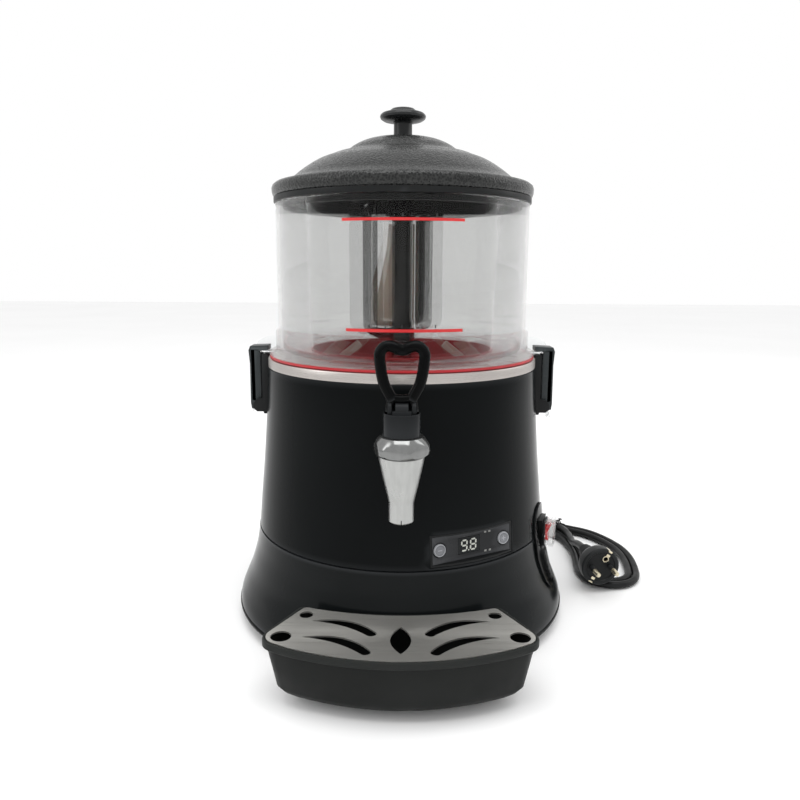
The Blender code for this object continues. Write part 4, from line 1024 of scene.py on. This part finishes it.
def build_handle():
    half = [
        (7, 230.5), (9.4, 235), (12.9, 242), (14.9, 250), (16.1, 258.5), (16.3, 264.2), (14.2, 268.4),
        (9.6, 270.2), (4.6, 268.9),
    ]
    left = [(-x, FAUCET_Y, z) for x, z in half]
    right = [(x, FAUCET_Y, z) for x, z in reversed(half)]
    loop = tube_mesh(smooth_path(left + [(0, FAUCET_Y, 267.0)] + right, 1.5), 4.2, 28)
    bridge = smooth_path([(-8.6, FAUCET_Y, 232.0), (0, FAUCET_Y, 231.0), (8.6, FAUCET_Y, 232.0)], 1.5)
    meshes = [loop, tube_mesh(bridge, 3.6, 24)]
    for side in (-1, 1):
        cheek = lathe_mesh([(0, 7.3), (6.3, 7.3), (6.9, 7.9), (6.9, 9.8), (6.3, 10.5), (0, 10.5)], 40)
        cheek.transform(on_pivot(side))
        meshes.append(cheek)
        web = [(side * x, FAUCET_Y, z) for x, z in ((8.9, 222), (8.6, 227), (7.2, 233))]
        meshes.append(tube_mesh(smooth_path(web, 1.5), 3.4, 24))
    piece("heart_handle", merged(*meshes), GLOSSY, ("faucet_handle",), body="handle")
    rivets = []
    for side in (-1, 1):
        dome = turned([(0, 10.3), (2.4, 10.3), (2.0, 11.0), (0, 11.3)], 32, on_pivot(side))
        rivets.append(dome)
    piece("handle_rivets", merged(*rivets), SILVER, body="handle")


# ---- bowl and lid


def build_bowl():
    seal = [
        (83.2, 208), (85.4, 208), (85.4, 244.8), (122.8, 244.8), (123.2, 245.2), (123.2, 246.6),
        (122.8, 247), (85.4, 247), (85.4, 251.4), (84.9, 252), (83.2, 252),
    ]
    piece("red_gasket", lathe_mesh(seal), RED, ("bowl_seal",))
    frost = [(98.0, 247.04), (120.6, 247.04), (120.6, 247.2), (98.0, 247.2)]
    piece("flange_frost", lathe_mesh(frost), FROST)
    outline = [
        (85.9, 247.3), (122.9, 247.3), (123.5, 247.9), (123.5, 250), (122.9, 250.6), (118.6, 251.4),
        (117.6, 252.6), (117.6, 268), (117, 269.2), (115.4, 271), (BOWL_R, 272.5), (BOWL_R, 380.9),
        (114.4, 381.6), (112.6, 381.6), (112.0, 380.9), (112, 257), (111, 253.2), (109, 251),
        (86.4, 251), (85.9, 250.5),
    ]
    piece("clear_bowl", lathe_mesh(outline, 192), CLEAR, ("bowl",))
    rib = [
        (115.5, 249), (138, 249), (140, 252.5), (137.5, 256.5), (131.5, 259.6), (124, 261),
        (117.8, 261),
    ]
    for side, name in SIDES:
        ends = sorted((side * 119.0, side * 133.0))
        block = box_mesh((ends[0], -8.6, 247.3), (ends[1], 12.6, 248.7))
        fin = slab_mesh([(side * x, z) for x, z in rib], 9.6, 12.5, "XZ")
        piece(f"bowl_lug_{name}", merged(block, fin), CLEAR_TAB, bevel=0.4)
    build_level_marks()


def curved_strip(radius, thick, z1, z2, left, right, count=40):
    """A thin strip that lies on the bowl's front, between two widths."""
    start = math.asin(left / radius)
    stop = math.asin(right / radius)
    outline = []
    for reach, order in ((radius, 1), (radius + thick, -1)):
        arc = []
        for i in range(count + 1):
            turn = start + (stop - start) * i / count
            arc.append((reach * math.sin(turn), -reach * math.cos(turn)))
        outline += arc[::order]
    return slab_mesh(outline, z1, z2)


def build_level_marks():
    """Printed red bands at the highest and lowest level, with plain ticks above."""
    for name, z1, z2, left, right in (("high", 361.0, 363.2, -47, 48), ("low", 276.0, 278.4, -44.5, 48)):
        band = curved_strip(BOWL_R + 0.05, 0.18, z1, z2, left, right)
        piece(f"level_band_{name}", band, BAND_RED)
        ticks = []
        for i in range(9):
            x = -26 + 6.5 * i
            tall = 2.4 if i % 4 == 0 else 1.2
            foot = z2 + 0.9
            ticks.append(curved_strip(BOWL_R + 0.05, 0.16, foot, foot + tall, x - 0.45, x + 0.45, 1))
        piece(f"level_ticks_{name}", merged(*ticks), PRINT)


def build_lid():
    outer = [
        (3, 440), (12, 440), (27.5, 438.6), (37.5, 435.8), (46, 431.4), (50.5, 427.9), (55, 426),
        (62, 424.6), (68, 422.2), (76, 419.2), (84, 414.8), (93, 408.6), (100, 403), (105, 400.6),
        (111, 399.2),
    ]
    rim = [
        (114.8, 398.2), (117, 396.4), (117.8, 394), (117.6, 390.6), (116.8, 388), (115.6, 387),
        (114.4, 387.3),
    ]
    outer = fine_outline(outer, 2.5)
    inner = [
        (114.2, 389), (115, 393), (110, 396.4), (102.2, 399.5), (83, 412.4), (54, 423.6), (45, 429.6),
        (27, 436.6), (3, 438.2),
    ]
    piece("lid_shell", lathe_mesh(outer + rim + inner), LID, ("lid_dome",), body="lid")
    ring = [
        (105, 377), (108, 377), (108, 381.9), (116.3, 381.9), (116.3, 386.7), (105, 386.7),
    ]
    ring = lathe_mesh(soft_outline(ring, 0.5, 3))
    piece("lid_plug_ring", ring, BLACK, ("lid_ring",), body="lid")
    knob = [
        (2.8, 452), (2.8, 440.3), (9.5, 440.3), (9.3, 441.6), (8.3, 443.4), (8.2, 452), (9.2, 453.4),
        (14, 454.2), (17.8, 455.1), (20, 456.6), (20.6, 458.2), (20.2, 459.6), (18.8, 460.9),
        (15.5, 461.9), (12.4, 462.6), (11.6, 463.6), (10, 464.9), (6, 465.8), (0, 466),
    ]
    knob = lathe_mesh([(0, 452.0)] + knob, 72)
    piece("lid_button", knob, KNOB, ("lid_knob",), body="lid")


# ---- latches and agitator


def build_latches():
    outline = [
        (133, 203), (139.6, 200.5), (142.2, 201.5), (142.2, 250), (134.4, 250), (133, 246),
    ]
    for side, name in SIDES:
        cheeks = []
        for y in (-9.0, 7.2):
            cheeks.append(slab_mesh([(side * x, z) for x, z in outline], y, y + 1.8, "XZ"))
        cheeks = merged(*cheeks)
        piece(f"latch_cheeks_{name}", cheeks, LATCH, bevel=0.4, body=f"latch_{name}")
        softened(f"latch_bracket_{name}", BLACK, 0.8)
        softened(f"latch_lever_{name}", LATCH, 0.9, body=f"latch_{name}")
        softened(f"latch_tab_{name}", CLEAR_TAB, 0.6, body=f"latch_{name}")


def build_agitator():
    hub = [
        (0, 387), (8, 387), (9.1, 386.6), (9.5, 385.6), (9.5, 378.3), (11.6, 378), (12, 377.6),
        (12, 370.4), (11.6, 370), (9.5, 369.7), (9.5, 270.3), (11.6, 270), (12, 269.6), (12, 260.4),
        (11.6, 260), (9.5, 259.7), (9.5, 161.5), (7.8, 161.5), (7.8, 256), (4.3, 256), (4.3, 268.3),
        (0, 268.3),
    ]
    piece("hub_tube", lathe_mesh(hub, FINE_STEPS), BAR, ("agitator_hub",), body="agitator")
    left = [
        (-11.2, -6.4, 265), (-26.4, -15, 265), (-26.4, -15, 384), (-33.4, 13.5, 384),
        (-33.4, 13.5, 265), (-11.2, 6.4, 265),
    ]
    right = [
        (8.5, -9.6, 374), (15.8, -16, 374), (15.8, -16, 273), (24.6, 12.5, 273), (24.6, 12.5, 374),
        (11.4, 6.4, 374),
    ]
    for name, line, bend in (("left", left, 9.0), ("right", right, 4.4)):
        bar = tube_mesh(rounded_path(line, bend, 12), 4.0, 28)
        piece(f"bar_{name}", bar, BAR, (f"agitator_loop_{name}",), body="agitator")
    softened("wiper_blade", PALE, 0.5, "blade", body="agitator")
    for name in ("left", "right"):
        softened(f"scraper_{name}", PALE, 0.9, body="agitator")


# ---- drip tray


def tray_outline(front, corner, rear_corner, rear, radius):
    """Plan of the tray at one level: bowed front, slanting sides, hollow rear."""
    corner_x, corner_y = corner
    rear_x, rear_y = rear_corner
    near = arc_between((-corner_x, -corner_y), (corner_x, -corner_y), corner_y - front, 48)
    far = arc_between((rear_x, -rear_y), (-rear_x, -rear_y), rear - rear_y, 48)

    def corner_of(before, spot, after, size):
        path = rounded_path([(*before, 0), (*spot, 0), (*after, 0)], size, 10)
        return [(p.x, p.y) for p in path[1:-1]]

    points = corner_of(far[-1], near[0], near[8], radius)
    points += near[5:-5]
    points += corner_of(near[-9], near[-1], far[0], radius)
    points += corner_of(near[-1], far[0], far[6], radius / 3)
    points += far[3:-3]
    points += corner_of(far[-7], far[-1], near[0], radius / 3)
    return points


def build_tray():
    edge = tray_outline(216.4, (104.5, 187.0), (78.0, 133.5), 147.0, 14.0)
    ledge = tray_outline(215.0, (102.4, 185.9), (75.2, 135.4), 149.0, 12.5)
    levels = [
        (tray_outline(203.6, (92.0, 177.6), (63.0, 149.6), 161.2, 10.0), 9.0),
        (tray_outline(205.2, (94.0, 179.4), (64.4, 148.3), 159.8, 11.0), 10.4),
        (tray_outline(208.6, (99.0, 181.8), (66.0, 146.6), 158.4, 13.0), 16.0),
        (tray_outline(212.6, (102.2, 185.0), (75.6, 136.2), 149.4, 14.0), 47.6),
        (tray_outline(215.4, (103.6, 186.4), (77.0, 134.5), 147.8, 14.0), 48.6),
        (edge, 49.6),
        (edge, 54.0),
        (tray_outline(215.8, (103.9, 186.5), (77.6, 134.1), 147.6, 13.6), 54.8),
        (ledge, 54.8),
        (ledge, 53.6),
        (tray_outline(210.0, (98.6, 182.4), (74.6, 138.4), 152.2, 10.0), 53.4),
        (tray_outline(202.6, (91.0, 177.0), (62.4, 152.0), 163.4, 9.0), 11.6),
    ]
    bm = bmesh.new()
    rings = []
    for outline, height in levels:
        rings.append([bm.verts.new((x * TRAY_WIDE, y, height)) for x, y in outline])
    close_rings(bm, rings)
    piece("tray_moulding", bm, TRAY, ("tray_body",), angle=45, body="tray")
    outline = tray_outline(214.6, (101.6, 185.4), (74.5, 136.0), 149.6, 12.0)
    leaf = arc_between((0, -166.7), (0, -205.1), -7.6, 20)
    leaf += arc_between((0, -205.1), (0, -166.7), -7.6, 20)[1:-1]
    holes = [leaf]
    for side in (-1, 1):
        holes.append(circle(side * 71.9, -148.6, 5.2))
        holes.append(circle(side * 86.0, -181.5, 7.5))
        holes.append(crescent((side * 67.0, -158.4), (side * 17.8, -175.4), side * -9.4, 7.8))
        holes.append(crescent((side * 71.2, -182.4), (side * 20.8, -201.0), side * -9.8, 7.8))
    widened = [[(x * TRAY_WIDE, y) for x, y in line] for line in [outline] + holes]
    cutters = [slab_mesh(hole, 50, 60) for hole in widened[1:]]
    plate = slab_mesh(widened[0], 53.9, 55.2)
    piece("drip_plate", plate, PLATE, ("tray_grid",), cutters, body="grid")


def crescent(tip, thick_end, rise, width):
    """Slot that swells from a sharp tip to a rounded end."""
    outer = arc_between(tip, thick_end, rise, 24)
    a = Vector(outer[-2])
    b = Vector(outer[-1])
    across = Vector((-(b - a).y, (b - a).x)).normalized() * math.copysign(width, -rise)
    far_end = tuple(b + across)
    ahead = (b - a).normalized() * width * 0.4
    bulge = []
    for i in range(1, 6):
        turn = math.pi * i / 6
        spot = b + across * (0.5 - 0.5 * math.cos(turn)) + ahead * math.sin(turn)
        bulge.append(tuple(spot))
    inner = arc_between(far_end, tip, -rise * 0.44, 24)
    return outer + bulge + inner[:-1]


# ---- CAD nodes that stay


KEPT = {
    **{f"foot_{i}": RUBBER for i in range(1, 5)},
    "tray_bracket": BLACK,
    "band_heater": MICA,
    "thermostat": ZINC,
    "gear_motor": ZINC,
    "motor_bracket": HIDDEN_STEEL,
    "circuit_board": BOARD,
    "faucet_shank": SILVER,
    "shank_nut": BRASS,
    "valve_stem": RED,
    "lid_screw": ZINC,
    "drive_shaft": BAR,
}


def dress_kept_nodes():
    for name, material in KEPT.items():
        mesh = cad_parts[name].data
        mesh.materials.clear()
        mesh.materials.append(material)


build_camera()
build_relief()
build_cord()
build_stage()
build_body()
build_panel()
build_switch()
build_faucet()
build_bowl()
build_lid()
build_latches()
build_agitator()
build_tray()
dress_kept_nodes()
